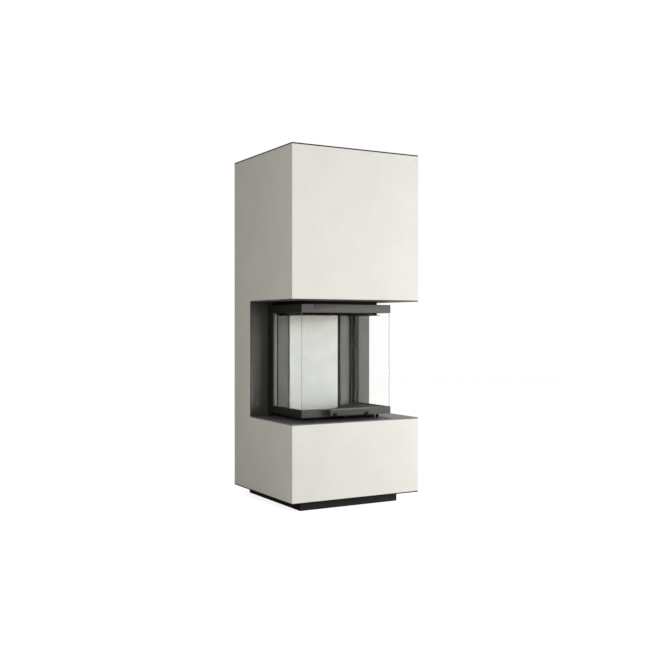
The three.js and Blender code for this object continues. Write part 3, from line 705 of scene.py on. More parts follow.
# Near-black steel for the clips under the handle: partly their own black, partly painted shadow
# under the handle's ends.
CLIP_PAINTED_SHADE = replace(
    DOOR_STEEL,
    name="clip_steel",
    base=(0.003, 0.003, 0.003),
    shade=(0.002, 0.002, 0.002),
    specular=0.04,
)
# The stiles are one steel in lit and shaded copies: painted light on the left stile's front and
# on the right stile's flanks, painted shade on the right stile's front.
LEFT_STILE_PAINTED_LIGHT = replace(
    DOOR_STEEL,
    name="left_stile_steel",
    base=(0.125, 0.125, 0.118),
    shade=(0.108, 0.108, 0.102),
    roughness=0.55,
)
RIGHT_STILE_PAINTED_SHADE = replace(
    DOOR_STEEL,
    name="right_stile_steel",
    base=(0.02, 0.0198, 0.0188),
    roughness=0.62,
    specular=0.05,
    edge_amount=0.2,
)
RIGHT_STILE_FLANK_PAINTED_LIGHT = replace(
    DOOR_STEEL,
    name="right_stile_flank_steel",
    base=(0.11, 0.109, 0.102),
    shade=(0.094, 0.093, 0.087),
    specular=0.1,
)
# The door guides are one steel in two tones: painted shade on the left guide, painted light on
# the right guide.
LEFT_GUIDE_PAINTED_SHADE = replace(
    DOOR_STEEL,
    name="left_guide_steel",
    base=(0.018, 0.018, 0.017),
    shade=(0.014, 0.014, 0.0135),
    roughness=0.6,
    specular=0.08,
    edge=(0.04, 0.04, 0.038),
    slot="black_steel",
)
RIGHT_GUIDE_PAINTED_LIGHT = replace(
    LEFT_GUIDE_PAINTED_SHADE,
    name="right_guide_steel",
    base=(0.075, 0.075, 0.07),
    shade=(0.062, 0.062, 0.058),
)
BLACK_STEEL = Finish(
    "black_steel",
    base=(0.01, 0.01, 0.0095),
    shade=(0.0075, 0.0075, 0.007),
    roughness=0.6,
    specular=0.1,
    grain=Grain.POWDER,
    grain_depth=0.00002,
    edge=(0.05, 0.05, 0.047),
    edge_amount=0.6,
    slot="black_steel",
)
COLLAR_STEEL = replace(
    BLACK_STEEL,
    name="collar_steel",
    base=(0.006, 0.006, 0.0055),
    shade=(0.005, 0.005, 0.0045),
    specular=0.06,
)
PLINTH_STEEL = replace(
    BLACK_STEEL,
    name="plinth_steel",
    base=(0.02, 0.02, 0.019),
    shade=(0.016, 0.016, 0.015),
)
# Plinth steel made darker on the faces turned left or right: painted shade on the plinth's
# flanks.
PLINTH_FLANK_PAINTED_SHADE = replace(
    BLACK_STEEL,
    name="plinth_flank_steel",
    base=(0.005, 0.005, 0.0045),
    shade=(0.004, 0.004, 0.0035),
    specular=0.03,
    roughness=0.75,
    edge=(0.012, 0.012, 0.011),
)
ZINC_SHEET = Finish(
    "zinc_sheet",
    base=(0.46, 0.475, 0.48),
    shade=(0.36, 0.372, 0.38),
    roughness=0.42,
    grain=Grain.SPANGLE,
    grain_size=0.011,
    grain_depth=0.000015,
    mottle_size=0.02,
    mottle_contrast=0.55,
    roughness_spread=0.16,
    metallic=0.85,
    edge=(0.6, 0.6, 0.6),
    dust=0.25,
    slot="zinc_sheet",
)
BRIGHT_STEEL = Finish(
    "bright_steel",
    base=(0.5, 0.5, 0.51),
    shade=(0.4, 0.4, 0.41),
    roughness=0.3,
    grain=Grain.BRUSHED,
    grain_size=0.0006,
    grain_depth=0.00001,
    mottle_size=0.03,
    metallic=0.95,
    edge=(0.68, 0.68, 0.68),
    slot="bright_steel",
)
SCREW_STEEL = replace(
    BRIGHT_STEEL,
    name="screw_steel",
    grain=Grain.POWDER,
    base=(0.36, 0.36, 0.37),
    roughness=0.35,
)
CAST_IRON = Finish(
    "cast_iron",
    base=(0.045, 0.044, 0.041),
    shade=(0.03, 0.03, 0.028),
    roughness=0.66,
    grain=Grain.CAST,
    grain_size=0.0022,
    grain_depth=0.00022,
    mottle_size=0.05,
    mottle_contrast=0.8,
    metallic=0.25,
    edge=(0.09, 0.088, 0.083),
    dust=0.35,
    dust_colour=(0.2, 0.195, 0.185),
    slot="cast_iron",
)
WEIGHT_IRON = replace(CAST_IRON, name="weight_iron", dust=0.1)
# White lining, warmer and a little darker towards the top: partly heat discolouring, partly
# painted shade under the lintel.
WHITE_LINING = Finish(
    "white_lining",
    base=(0.495, 0.5, 0.49),
    shade=(0.425, 0.433, 0.427),
    roughness=0.85,
    grain=Grain.BOARD,
    grain_size=0.002,
    grain_depth=0.00008,
    mottle_size=0.07,
    mottle_contrast=0.8,
    specular=0.2,
    tint=(0.52, 0.475, 0.43),
    tint_from=0.8,
    tint_to=1.02,
    tint_unevenness=0.05,
    slot="white_lining",
)
GREY_LINING = Finish(
    "grey_lining",
    base=(0.1, 0.103, 0.095),
    shade=(0.084, 0.087, 0.081),
    roughness=0.7,
    grain=Grain.BOARD,
    grain_size=0.0018,
    grain_depth=0.00005,
    mottle_size=0.06,
    mottle_contrast=0.6,
    specular=0.3,
    slot="grey_lining",
)
BAFFLE_BOARD = Finish(
    "baffle_board",
    base=(0.5, 0.41, 0.27),
    shade=(0.36, 0.28, 0.17),
    roughness=0.9,
    grain=Grain.CAST,
    grain_size=0.004,
    grain_depth=0.0003,
    mottle_size=0.012,
    mottle_contrast=1.0,
    specular=0.2,
    slot="baffle_board",
)
RUBBER = Finish(
    "buffer_rubber",
    base=(0.012, 0.012, 0.012),
    shade=(0.017, 0.017, 0.017),
    roughness=0.9,
    specular=0.04,
    grain=Grain.CAST,
    grain_depth=0.00003,
    slot="rubber",
)
SEAL_TAPE = replace(RUBBER, name="seal_tape")
FIRE_GLASS = PaneFinish("fire_glass")
GLASS_RIM = GroundEdgeFinish("glass_rim")


class Paints:
    """Builds each finish once and hands out its material."""

    def __init__(self) -> None:
        """Starts with no material built."""
        self.groups = ShaderGroups()
        self.built: dict[str, bpy.types.Material] = {}

    def of(self, finish: AnyFinish) -> bpy.types.Material:
        """Gives the material of a finish.

        Args:
            finish: The finish.

        Returns:
            Its material.
        """
        if finish.name not in self.built:
            if isinstance(finish, Finish):
                self.built[finish.name] = finish.build(self.groups)
            else:
                self.built[finish.name] = finish.build()
        return self.built[finish.name]


# -------------------------------------------------------------- repeat trees


class RepeatTrees:
    """Geometry node trees for what repeats or follows a path."""

    def __init__(self) -> None:
        """Starts with no tree built."""
        self.built: dict[str, bpy.types.NodeTree] = {}

    def _start(
        self, name: str, inputs: Sequence[tuple[str, str]]
    ) -> tuple[NodeDesk, bpy.types.Node, bpy.types.Node]:
        """Opens a tree.

        Args:
            name: The tree's name.
            inputs: Name and socket type of each input after the geometry.

        Returns:
            The desk, the input node and the output node.
        """
        tree = bpy.data.node_groups.new(name, "GeometryNodeTree")
        tree.interface.new_socket("Geometry", in_out="INPUT", socket_type="NodeSocketGeometry")
        for label, kind in inputs:
            tree.interface.new_socket(label, in_out="INPUT", socket_type=kind)
        tree.interface.new_socket("Geometry", in_out="OUTPUT", socket_type="NodeSocketGeometry")
        self.built[name] = tree
        desk = NodeDesk(tree)
        return desk, desk.add("NodeGroupInput"), desk.add("NodeGroupOutput")

    @staticmethod
    def _close(
        desk: NodeDesk,
        geometry: bpy.types.NodeSocket,
        given: bpy.types.Node,
        out: bpy.types.Node,
    ) -> None:
        """Ends a tree in Realize Instances and Set Material.

        Args:
            desk: The tree's desk.
            geometry: What the tree has made.
            given: The input node.
            out: The output node.
        """
        real = desk.add("GeometryNodeRealizeInstances", {0: geometry})
        painted = desk.add(
            "GeometryNodeSetMaterial",
            {"Geometry": real.outputs[0], "Material": given.outputs["Finish"]},
        )
        desk.link(painted.outputs[0], out.inputs[0])

    def row(self) -> bpy.types.NodeTree:
        """Copies of one form at even steps on a line.

        Returns:
            The tree, with inputs Form, First, Last, Count, Turn and Finish.
        """
        if "evenly_spaced_row" in self.built:
            return self.built["evenly_spaced_row"]
        inputs = [
            ("Form", "NodeSocketObject"),
            ("First", "NodeSocketVector"),
            ("Last", "NodeSocketVector"),
            ("Count", "NodeSocketInt"),
            ("Turn", "NodeSocketRotation"),
            ("Finish", "NodeSocketMaterial"),
        ]
        desk, given, out = self._start("evenly_spaced_row", inputs)
        line = desk.add(
            "GeometryNodeMeshLine",
            {
                "Count": given.outputs["Count"],
                "Start Location": given.outputs["First"],
                "Offset": given.outputs["Last"],
            },
            mode="END_POINTS",
        )
        form = desk.add("GeometryNodeObjectInfo", {"Object": given.outputs["Form"]})
        copies = desk.add(
            "GeometryNodeInstanceOnPoints",
            {
                "Points": line.outputs[0],
                "Instance": form.outputs["Geometry"],
                "Rotation": given.outputs["Turn"],
            },
        )
        self._close(desk, copies.outputs[0], given, out)
        return desk.tree

    def ring(self) -> bpy.types.NodeTree:
        """Copies of one form on a circle.

        Returns:
            The tree, with inputs Form, Centre, Radius, Count, Tilt, Turn and Finish.
        """
        if "evenly_spaced_ring" in self.built:
            return self.built["evenly_spaced_ring"]
        inputs = [
            ("Form", "NodeSocketObject"),
            ("Centre", "NodeSocketVector"),
            ("Radius", "NodeSocketFloat"),
            ("Count", "NodeSocketInt"),
            ("Tilt", "NodeSocketRotation"),
            ("Turn", "NodeSocketRotation"),
            ("Finish", "NodeSocketMaterial"),
        ]
        desk, given, out = self._start("evenly_spaced_ring", inputs)
        circle = desk.add(
            "GeometryNodeMeshCircle",
            {"Vertices": given.outputs["Count"], "Radius": given.outputs["Radius"]},
        )
        placed = desk.add(
            "GeometryNodeTransform",
            {
                "Geometry": circle.outputs[0],
                "Translation": given.outputs["Centre"],
                "Rotation": given.outputs["Tilt"],
            },
        )
        form = desk.add("GeometryNodeObjectInfo", {"Object": given.outputs["Form"]})
        copies = desk.add(
            "GeometryNodeInstanceOnPoints",
            {
                "Points": placed.outputs[0],
                "Instance": form.outputs["Geometry"],
                "Rotation": given.outputs["Turn"],
            },
        )
        self._close(desk, copies.outputs[0], given, out)
        return desk.tree

    def strand(self) -> bpy.types.NodeTree:
        """A lobed section swept and twisted along the object's own curve.

        Returns:
            The tree, with inputs Radius, Lobes, Groove, Twist, Step and Finish.
        """
        if "twisted_strand" in self.built:
            return self.built["twisted_strand"]
        inputs = [
            ("Radius", "NodeSocketFloat"),
            ("Lobes", "NodeSocketInt"),
            ("Groove", "NodeSocketFloat"),
            ("Twist", "NodeSocketFloat"),
            ("Step", "NodeSocketFloat"),
            ("Finish", "NodeSocketMaterial"),
        ]
        desk, given, out = self._start("twisted_strand", inputs)
        path = desk.add(
            "GeometryNodeResampleCurve",
            {"Curve": given.outputs["Geometry"], "Length": given.outputs["Step"]},
            mode="LENGTH",
        )
        along = desk.add("GeometryNodeSplineParameter").outputs["Length"]
        turn = desk.math("MULTIPLY", along, given.outputs["Twist"])
        twisted = desk.add("GeometryNodeSetCurveTilt", {"Curve": path.outputs[0], "Tilt": turn})
        deep = desk.math("SUBTRACT", 1.0, given.outputs["Groove"])
        section = desk.add(
            "GeometryNodeCurveStar",
            {
                "Points": given.outputs["Lobes"],
                "Inner Radius": desk.math("MULTIPLY", given.outputs["Radius"], deep),
                "Outer Radius": given.outputs["Radius"],
            },
        )
        swept = desk.add(
            "GeometryNodeCurveToMesh",
            {"Curve": twisted.outputs[0], "Profile Curve": section.outputs[0], "Fill Caps": True},
        )
        self._close(desk, swept.outputs[0], given, out)
        return desk.tree

    @staticmethod
    def grow(
        name: str, tree: bpy.types.NodeTree, values: dict[str, Any], base: bpy.types.ID | None
    ) -> bpy.types.Object:
        """Runs a tree and keeps its result as a plain mesh piece.

        Args:
            name: The piece's name.
            tree: The tree to run.
            values: The tree's inputs by name.
            base: Object data to start from, or None for an empty mesh.

        Returns:
            The piece, with no modifier left on it.
        """
        start = base or bpy.data.meshes.new(f"{name}_source")
        host = bpy.data.objects.new(f"{name}_source", start)
        bpy.context.scene.collection.objects.link(host)
        modifier = host.modifiers.new("repeat", "NODES")
        modifier.node_group = tree
        for item in tree.interface.items_tree:
            if item.in_out == "INPUT" and item.name in values:
                modifier[item.identifier] = values[item.name]
        graph = bpy.context.evaluated_depsgraph_get()
        mesh = bpy.data.meshes.new_from_object(host.evaluated_get(graph), depsgraph=graph)
        mesh.name = name
        host.modifiers.clear()
        bpy.data.objects.remove(host)
        piece = bpy.data.objects.new(name, mesh)
        bpy.context.scene.collection.objects.link(piece)
        return piece


# ------------------------------------------------------------------ workshop

# Turns that point a form's +Z up, down, to the rear and to the front
UPWARD: Point = (0.0, 0.0, 0.0)
DOWNWARD: Point = (math.pi, 0.0, 0.0)
REARWARD: Point = (-math.pi / 2, 0.0, 0.0)
FORWARD: Point = (math.pi / 2, 0.0, 0.0)

WELD_DISTANCE = 2e-6
FLAT_ANGLE = math.radians(1.0)
EDGE_ANGLE = math.radians(28.0)
ON_AXIS = 1e-9

# Angles in degrees from which an edge is shaded crisp
SOFT_SHADING = 35.0
CRISP_SHADING = 18.0

# Least share of a face's normal along an axis that makes the face turn that way
FACING = 0.9


def join_ends(
    work: bmesh.types.BMesh,
    first: Sequence[bmesh.types.BMVert],
    last: Sequence[bmesh.types.BMVert],
) -> None:
    """Joins two outlines by side faces and closes both.

    Args:
        work: The mesh.
        first: The corners of one end, in order.
        last: The corners of the other end, as many and in the same order.
    """
    count = len(first)
    for index in range(count):
        after = (index + 1) % count
        work.faces.new([first[index], first[after], last[after], last[index]])
    work.faces.new(first[::-1])
    work.faces.new(last)


def ease_edges(
    work: bmesh.types.BMesh, edges: Sequence[bmesh.types.BMEdge], width: float
) -> None:
    """Rounds edges in two steps.

    Args:
        work: The mesh.
        edges: The edges.
        width: Width of the rounding.
    """
    bmesh.ops.bevel(work, geom=edges, offset=width, segments=2, profile=0.5, affect="EDGES")


def stepped(radius: float, level: float, steps: Steps, sense: float = 1.0) -> list[Corner]:
    """Places corners of a turned profile.

    Args:
        radius: The radius that they start from.
        level: The level that they start from.
        steps: How far inward and how far along each corner lies, in millimetres.
        sense: 1 along the axis, -1 against it.

    Returns:
        Radius and level of each corner.
    """
    return [(radius - inward * MM, level + sense * along * MM) for inward, along in steps]


def line_curve(name: str, points: Sequence[Point]) -> bpy.types.Curve:
    """Makes a poly curve through points.

    Args:
        name: The curve's name.
        points: The points in order.

    Returns:
        The curve data.
    """
    curve = bpy.data.curves.new(name, "CURVE")
    curve.dimensions = "3D"
    spline = curve.splines.new("POLY")
    spline.points.add(len(points) - 1)
    for point, place in zip(spline.points, points):
        point.co = (*place, 1.0)
    return curve


@dataclass(frozen=True)
class Strand:
    """The lobed section of a cable or bead, and how it is swept."""

    radius: float
    lobes: int
    groove: float
    step: float
    lay_length: float = math.inf

    def inputs(self) -> dict[str, Any]:
        """The inputs of the strand tree by name."""
        return {
            "Radius": self.radius,
            "Lobes": self.lobes,
            "Groove": self.groove,
            "Twist": 2 * math.pi / self.lay_length,
            "Step": self.step,
        }


@dataclass
class Workshop:
    """Makes meshes, paints them and fixes them to the frame."""

    paints: Paints
    trees: RepeatTrees
    nodes: dict[str, bpy.types.Object]
    bodies: dict[str, str]
    patterns: dict[str, bpy.types.Object] = field(default_factory=dict)
    screw_sides: int = 18
    screw_rings: tuple[Corner, ...] = ((1.0, 0.0), (1.0, 0.45), (0.86, 0.85), (0.62, 1.0))
    socket_rings: tuple[Corner, ...] = ((0.46, 1.0), (0.46, 0.45))

    @staticmethod
    def publish(
        name: str, work: bmesh.types.BMesh, sharp: float = SOFT_SHADING
    ) -> bpy.types.Object:
        """Turns a bmesh into an object.

        Args:
            name: The object's name.
            work: The mesh, which is freed.
            sharp: Angle in degrees from which an edge stays crisp.

        Returns:
            The object.
        """
        mesh = bpy.data.meshes.new(name)
        work.to_mesh(mesh)
        work.free()
        mesh.shade_smooth()
        mesh.set_sharp_from_angle(angle=math.radians(sharp))
        piece = bpy.data.objects.new(name, mesh)
        bpy.context.scene.collection.objects.link(piece)
        return piece

    def fit(
        self,
        piece: bpy.types.Object,
        body: Part | str,
        finish: Finish | None = None,
        instead: Iterable[str] = (),
    ) -> bpy.types.Object:
        """Paints a piece, lets it ride and reports it.

        Args:
            piece: The piece, in its place.
            body: The body that it rides on.
            finish: Its finish, left out where its materials are set.
            instead: The frame nodes that it stands for.

        Returns:
            The piece.
        """
        if finish is not None:
            piece.data.materials.clear()
            piece.data.materials.append(self.paints.of(finish))
        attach(piece, body.value if isinstance(body, Part) else body)
        if instead:
            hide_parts(*instead)
        LOG.info("%s: %d faces", piece.name, len(piece.data.polygons))
        return piece

    def eased(
        self,
        node: str,
        finish: Finish,
        ease: float,
        steps: int = 2,
        painted_flank: Finish | None = None,
    ) -> bpy.types.Object:
        """Stands in for a frame node with the same form and eased edges.

        Args:
            node: The node.
            finish: The finish of the copy.
            ease: Width of the eased edge.
            steps: Segments across it.
            painted_flank: The finish of the faces turned left or right, where it differs. It
                carries painted shade on the door bars, the left stile and the plinth, and painted
                light on the right stile.

        Returns:
            The piece.
        """
        work = bmesh.new()
        work.from_mesh(self.nodes[node].data)
        bmesh.ops.remove_doubles(work, verts=work.verts, dist=WELD_DISTANCE)
        bmesh.ops.dissolve_limit(
            work, angle_limit=FLAT_ANGLE, verts=work.verts, edges=work.edges
        )
        worn = work.faces.layers.float.new(EDGE_LAYER)
        edges = [e for e in work.edges if e.is_manifold and e.calc_face_angle(0.0) > EDGE_ANGLE]
        made = bmesh.ops.bevel(
            work,
            geom=edges,
            offset=ease,
            offset_type="OFFSET",
            segments=steps,
            profile=0.5,
            affect="EDGES",
            clamp_overlap=True,
        )
        for face in made["faces"]:
            face[worn] = 1.0
        piece = self.publish(f"{node}_eased", work, CRISP_SHADING)
        self.fit(piece, self.bodies[node], finish, [node])
        # Faces turned left or right take the second finish, which has light or shade painted into
        # its colour.
        if painted_flank is not None:
            piece.data.materials.append(self.paints.of(painted_flank))
            for face in piece.data.polygons:
                face.material_index = int(abs(face.normal.x) > FACING)
        return piece

    @staticmethod
    def lathe(
        profile: Sequence[Corner], centre: Point, axis: str = "Z", segments: int = 96
    ) -> bmesh.types.BMesh:
        """Turns a closed profile round an axis.

        Args:
            profile: Radius and distance along the axis of each point, in order. It starts
                and ends on the axis or closes on itself.
            centre: A point of the axis.
            axis: X, Y or Z.
            segments: Steps round the axis.

        Returns:
            The mesh.
        """
        work = bmesh.new()
        rings = []
        for radius, along in profile:
            if radius < ON_AXIS:
                rings.append([work.verts.new((0.0, 0.0, along))] * segments)
                continue
            ring = []
            for step in range(segments):
                angle = 2 * math.pi * step / segments
                place = (radius * math.cos(angle), radius * math.sin(angle), along)
                ring.append(work.verts.new(place))
            rings.append(ring)
        closed = profile[0][0] > ON_AXIS
        for index in range(len(rings) - (0 if closed else 1)):
            lower, upper = rings[index], rings[(index + 1) % len(rings)]
            for step in range(segments):
                after = (step + 1) % segments
                corners = [lower[step], lower[after], upper[after], upper[step]]
                work.faces.new(list(dict.fromkeys(corners)))
        turns = {
            "X": Matrix.Rotation(math.pi / 2, 4, "Y"),
            "Y": Matrix.Rotation(-math.pi / 2, 4, "X"),
        }
        if axis in turns:
            work.transform(turns[axis])
        work.transform(Matrix.Translation(Vector(centre)))
        bmesh.ops.recalc_face_normals(work, faces=work.faces)
        return work

    @staticmethod
    def block(
        low: Sequence[float], high: Sequence[float], ease: float = 0.0
    ) -> bmesh.types.BMesh:
        """Makes a box.

        Args:
            low: Its lowest corner.
            high: Its highest corner.
            ease: Width of its eased edges, 0 for sharp ones.

        Returns:
            The mesh.
        """
        work = bmesh.new()
        bmesh.ops.create_cube(work, size=1.0)
        size = [b - a for a, b in zip(low, high)]
        middle = [(a + b) / 2 for a, b in zip(low, high)]
        work.transform(Matrix.Translation(Vector(middle)) @ Matrix.Diagonal((*size, 1.0)))
        if ease > 0:
            ease_edges(work, work.edges[:], ease)
        return work

    @staticmethod
    def extruded(
        outline: Sequence[Corner], start: float, end: float, ease: float
    ) -> bmesh.types.BMesh:
        """Runs a closed section along X and eases its edges.

        Args:
            outline: The section's corners as Y and Z, in order.
            start: The lower X.
            end: The upper X.
            ease: Width of the eased edges.

        Returns:
            The mesh.
        """
        work = bmesh.new()
        ends = [[work.verts.new((x, y, z)) for y, z in outline] for x in (start, end)]
        join_ends(work, *ends)
        bmesh.ops.recalc_face_normals(work, faces=work.faces)
        ease_edges(work, work.edges[:], ease)
        return work

    def pattern(self, name: str, make: Callable[[], bmesh.types.BMesh]) -> bpy.types.Object:
        """Gives a form for the repeat trees, which stays outside the object itself.

        Args:
            name: The form's name.
            make: What makes its mesh, called at the first use only.

        Returns:
            The form's object.
        """
        if name not in self.patterns:
            self.patterns[name] = self.publish(name, make())
        return self.patterns[name]

    def clear_patterns(self) -> None:
        """Removes the forms that only fed the repeat trees."""
        for form in self.patterns.values():
            bpy.data.objects.remove(form)
        self.patterns.clear()

    def screw_head(self, radius: float, height: float) -> bpy.types.Object:
        """A pan head with a six-sided socket, standing along +Z.

        Args:
            radius: The head's radius.
            height: Its height.

        Returns:
            The form for the repeat trees.
        """
        name = f"screw_head_{radius / MM:.1f}".replace(".", "_")
        return self.pattern(name, lambda: self._screw_mesh(radius, height))

    def _screw_mesh(self, radius: float, height: float) -> bmesh.types.BMesh:
        """Builds a pan head from its rings.

        Args:
            radius: The head's radius.
            height: Its height.

        Returns:
            The mesh.
        """
        work = bmesh.new()
        rings = []
        for index, (share, rise) in enumerate(self.screw_rings + self.socket_rings):
            ring = []
            for step in range(self.screw_sides):
                angle = 2 * math.pi * step / self.screw_sides
                reach = share * radius
                if index >= len(self.screw_rings):
                    corner = (angle + math.pi / 6) % (math.pi / 3) - math.pi / 6
                    reach *= math.cos(math.pi / 6) / math.cos(corner)
                place = (reach * math.cos(angle), reach * math.sin(angle), rise * height)
                ring.append(work.verts.new(place))
            rings.append(ring)
        for lower, upper in zip(rings, rings[1:]):
            for step in range(self.screw_sides):
                after = (step + 1) % self.screw_sides
                work.faces.new([lower[step], lower[after], upper[after], upper[step]])
        work.faces.new(rings[0][::-1])
        work.faces.new(rings[-1])
        bmesh.ops.recalc_face_normals(work, faces=work.faces)
        return work

    def grown(
        self,
        name: str,
        tree: bpy.types.NodeTree,
        finish: Finish,
        values: dict[str, Any],
        base: bpy.types.ID | None = None,
    ) -> bpy.types.Object:
        """Grows a piece from a repeat tree in one finish.

        Args:
            name: The piece's name.
            tree: The tree.
            finish: The finish.
            values: The tree's other inputs by name.
            base: Object data to start from, or None for an empty mesh.

        Returns:
            The piece, which rides on nothing yet.
        """
        values = {**values, "Finish": self.paints.of(finish)}
        piece = self.trees.grow(name, tree, values, base)
        return piece

    def row(
        self,
        name: str,
        form: bpy.types.Object,
        finish: Finish,
        line: tuple[Point, Point, int],
        turn: Point = UPWARD,
        body: Part = Part.ROOT,
    ) -> bpy.types.Object:
        """Sets copies of a form on a line.

        Args:
            name: The piece's name.
            form: The form.
            finish: The finish.
            line: The first place, the last place and the number of copies.
            turn: How each copy is turned.
            body: The body that they ride on.

        Returns:
            The piece.
        """
        first, last, count = line
        values = {"Form": form, "First": first, "Last": last, "Count": count, "Turn": turn}
        return self.fit(self.grown(name, self.trees.row(), finish, values), body)

    def screw_ring(
        self,
        name: str,
        head: bpy.types.Object,
        circle: tuple[Point, float, int],
        tilt: Point = UPWARD,
        turn: Point = UPWARD,
    ) -> bpy.types.Object:
        """Sets screws on a circle of the fixed body.

        Args:
            name: The piece's name.
            head: The form of a screw's head.
            circle: The centre, the radius and the number of screws.
            tilt: How the circle is turned.
            turn: How each screw is turned.

        Returns:
            The piece.
        """
        centre, radius, count = circle
        values = {
            "Form": head,
            "Centre": centre,
            "Radius": radius,
            "Count": count,
            "Tilt": tilt,
            "Turn": turn,
        }
        return self.fit(self.grown(name, self.trees.ring(), SCREW_STEEL, values), Part.ROOT)

    def strand(
        self, name: str, path: Sequence[Point], section: Strand, finish: Finish
    ) -> bpy.types.Object:
        """Sweeps a strand along a path.

        Args:
            name: The piece's name.
            path: The path's points.
            section: The strand's section.
            finish: The finish.

        Returns:
            The piece, which rides on nothing yet.
        """
        curve = line_curve(f"{name}_path", path)
        return self.grown(name, self.trees.strand(), finish, section.inputs(), curve)


# -------------------------------------------------------------- sub-assemblies


@dataclass
class CladdingSet:
    """Mineral board panels, dark cover plates and the vented rear panel."""

    board_ease: float = 0.7 * MM
    board_steps: int = 3
    board_reach: float = 2.0 * MM
    plate_ease: float = 0.5 * MM
    zinc_ease: float = 0.3 * MM
    top_rim: float = 2.6 * MM
    bottom_rim: float = 2.2 * MM
    rim_width: float = 28.0 * MM
    rim_ease: float = 0.3 * MM
    rim_gap: float = 0.02 * MM
    screw_radius: float = 4.2 * MM
    screw_height: float = 2.2 * MM
    screw_inset: float = 12.0 * MM
    corner_gap: float = 100.0 * MM
    screws_up: int = 9
    screws_across: int = 4
    louvre_x: tuple[float, float] = (115.0 * MM, 265.0 * MM)
    louvre_overlap: float = 2.0 * MM
    louvre_height: float = 12.0 * MM
    louvre_rise: float = 1.5 * MM
    louvre_lift: float = 2.2 * MM
    louvre_drop: float = 9.5 * MM
    louvre_sheet: float = 0.6 * MM
    louvre_gap: float = 0.1 * MM
    louvre_steps: int = 6
    louvre_pitch: float = 26.0 * MM
    louvre_rows: int = 3
    louvre_low: float = 205.0 * MM
    louvre_high: float = 1605.0 * MM

    def build(self, shop: Workshop) -> None:
        """Builds the set.

        Args:
            shop: The workshop.
        """
        for label in ("lower_front", "upper_front", "left_side", "right_side"):
            panel = shop.eased(f"{label}_panel", CLADDING, self.board_ease, self.board_steps)
            self._make_room(panel)
        shop.eased("bottom_plate", COVER_SHEET_AND_SHADE, self.plate_ease)
        shop.eased("top_plate", COVER_SHEET_AND_SHADE, self.plate_ease)
        # The near-black rims stand in partly for the shadow joint under the plates.
        self._rim(shop, "top_plate", self.top_rim)
        self._rim(shop, "bottom_plate", self.bottom_rim)
        self._make_room(shop.eased("rear_panel", ZINC_SHEET, self.zinc_ease))
        self._rear_screws(shop)
        self._louvres(shop)

    def _make_room(self, panel: bpy.types.Object) -> None:
        """Lowers a panel's upper edge under the rim of the top plate.

        Args:
            panel: The panel. One that ends lower keeps its shape.
        """
        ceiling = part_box("top_plate")[0].z
        for vertex in panel.data.vertices:
            if vertex.co.z > ceiling - self.board_reach:
                vertex.co.z -= self.top_rim

    def _rim(self, shop: Workshop, plate: str, depth: float) -> None:
        """Makes the folded rim round the underside of a cover plate. Painted near black, it also
        stands in for the shadow joint under the plate, as painted shade.

        Args:
            shop: The workshop.
            plate: The plate's node.
            depth: How far the rim reaches down.
        """
        low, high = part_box(plate)
        levels = (low.z - depth, low.z - self.rim_gap)
        work = bmesh.new()
        loops = []
        for inset in (0.0, self.rim_width):
            left, front = low.x + inset, low.y + inset
            right, rear = high.x - inset, high.y - inset
            corners = ((left, front), (right, front), (right, rear), (left, rear))
            loops.append([[work.verts.new((x, y, z)) for x, y in corners] for z in levels])
        (outer_low, outer_high), (inner_low, inner_high) = loops
        for one in range(4):
            two = (one + 1) % 4
            work.faces.new([outer_low[one], outer_low[two], outer_high[two], outer_high[one]])
            work.faces.new([inner_low[two], inner_low[one], inner_high[one], inner_high[two]])
            work.faces.new([outer_high[one], outer_high[two], inner_high[two], inner_high[one]])
            work.faces.new([outer_low[two], outer_low[one], inner_low[one], inner_low[two]])
        bmesh.ops.recalc_face_normals(work, faces=work.faces)
        edges = [e for e in work.edges if e.calc_face_angle(0.0) > EDGE_ANGLE]
        ease_edges(work, edges, self.rim_ease)
        shop.fit(shop.publish(f"{plate}_rim", work), Part.ROOT, COVER_SHEET_AND_SHADE)

    def _rear_screws(self, shop: Workshop) -> None:
        """Puts a row of screws along each edge of the rear panel.

        Args:
            shop: The workshop.
        """
        low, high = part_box("rear_panel")
        head = shop.screw_head(self.screw_radius, self.screw_height)
        inset, gap, y = self.screw_inset, self.corner_gap, high.y
        left, right = low.x + inset, high.x - inset
        bottom, top = low.z + inset, high.z - inset
        rows = {
            "left": ((left, y, bottom), (left, y, top), self.screws_up),
            "right": ((right, y, bottom), (right, y, top), self.screws_up),
            "bottom": ((left + gap, y, bottom), (right - gap, y, bottom), self.screws_across),
            "top": ((left + gap, y, top), (right - gap, y, top), self.screws_across),
        }
        for label, line in rows.items():
            shop.row(f"rear_screws_{label}", head, SCREW_STEEL, line, REARWARD)

    def _louvre(self) -> bmesh.types.BMesh:
        """Forms a pressed hood over one vent slot, with two cheeks and open below.

        Returns:
            The mesh.
        """
        half = (self.louvre_x[1] - self.louvre_x[0]) / 2 + self.louvre_overlap
        height = self.louvre_height / 2 + self.louvre_rise
        thick = self.louvre_sheet
        section = []
        for step in range(self.louvre_steps + 1):
            share = step / self.louvre_steps
            lift = self.louvre_lift * math.sin(share * math.pi / 2)
            section.append((height - share * self.louvre_drop, lift))
        inner = [(z, max(lift - thick, -thick)) for z, lift in section]
        loop = section + inner[::-1]
        work = bmesh.new()
        join_ends(
            work, *[[work.verts.new((x, lift, z)) for z, lift in loop] for x in (-half, half)]
        )
        cheek = [(max(lift - thick, 0.0), z) for z, lift in section]
        cheek.append((0.0, height - self.louvre_drop))
        for x in (-half, half):
            walls = (x, x - math.copysign(thick, x))
            join_ends(work, *[[work.verts.new((wall, y, z)) for y, z in cheek] for wall in walls])
        bmesh.ops.recalc_face_normals(work, faces=work.faces)
        return work

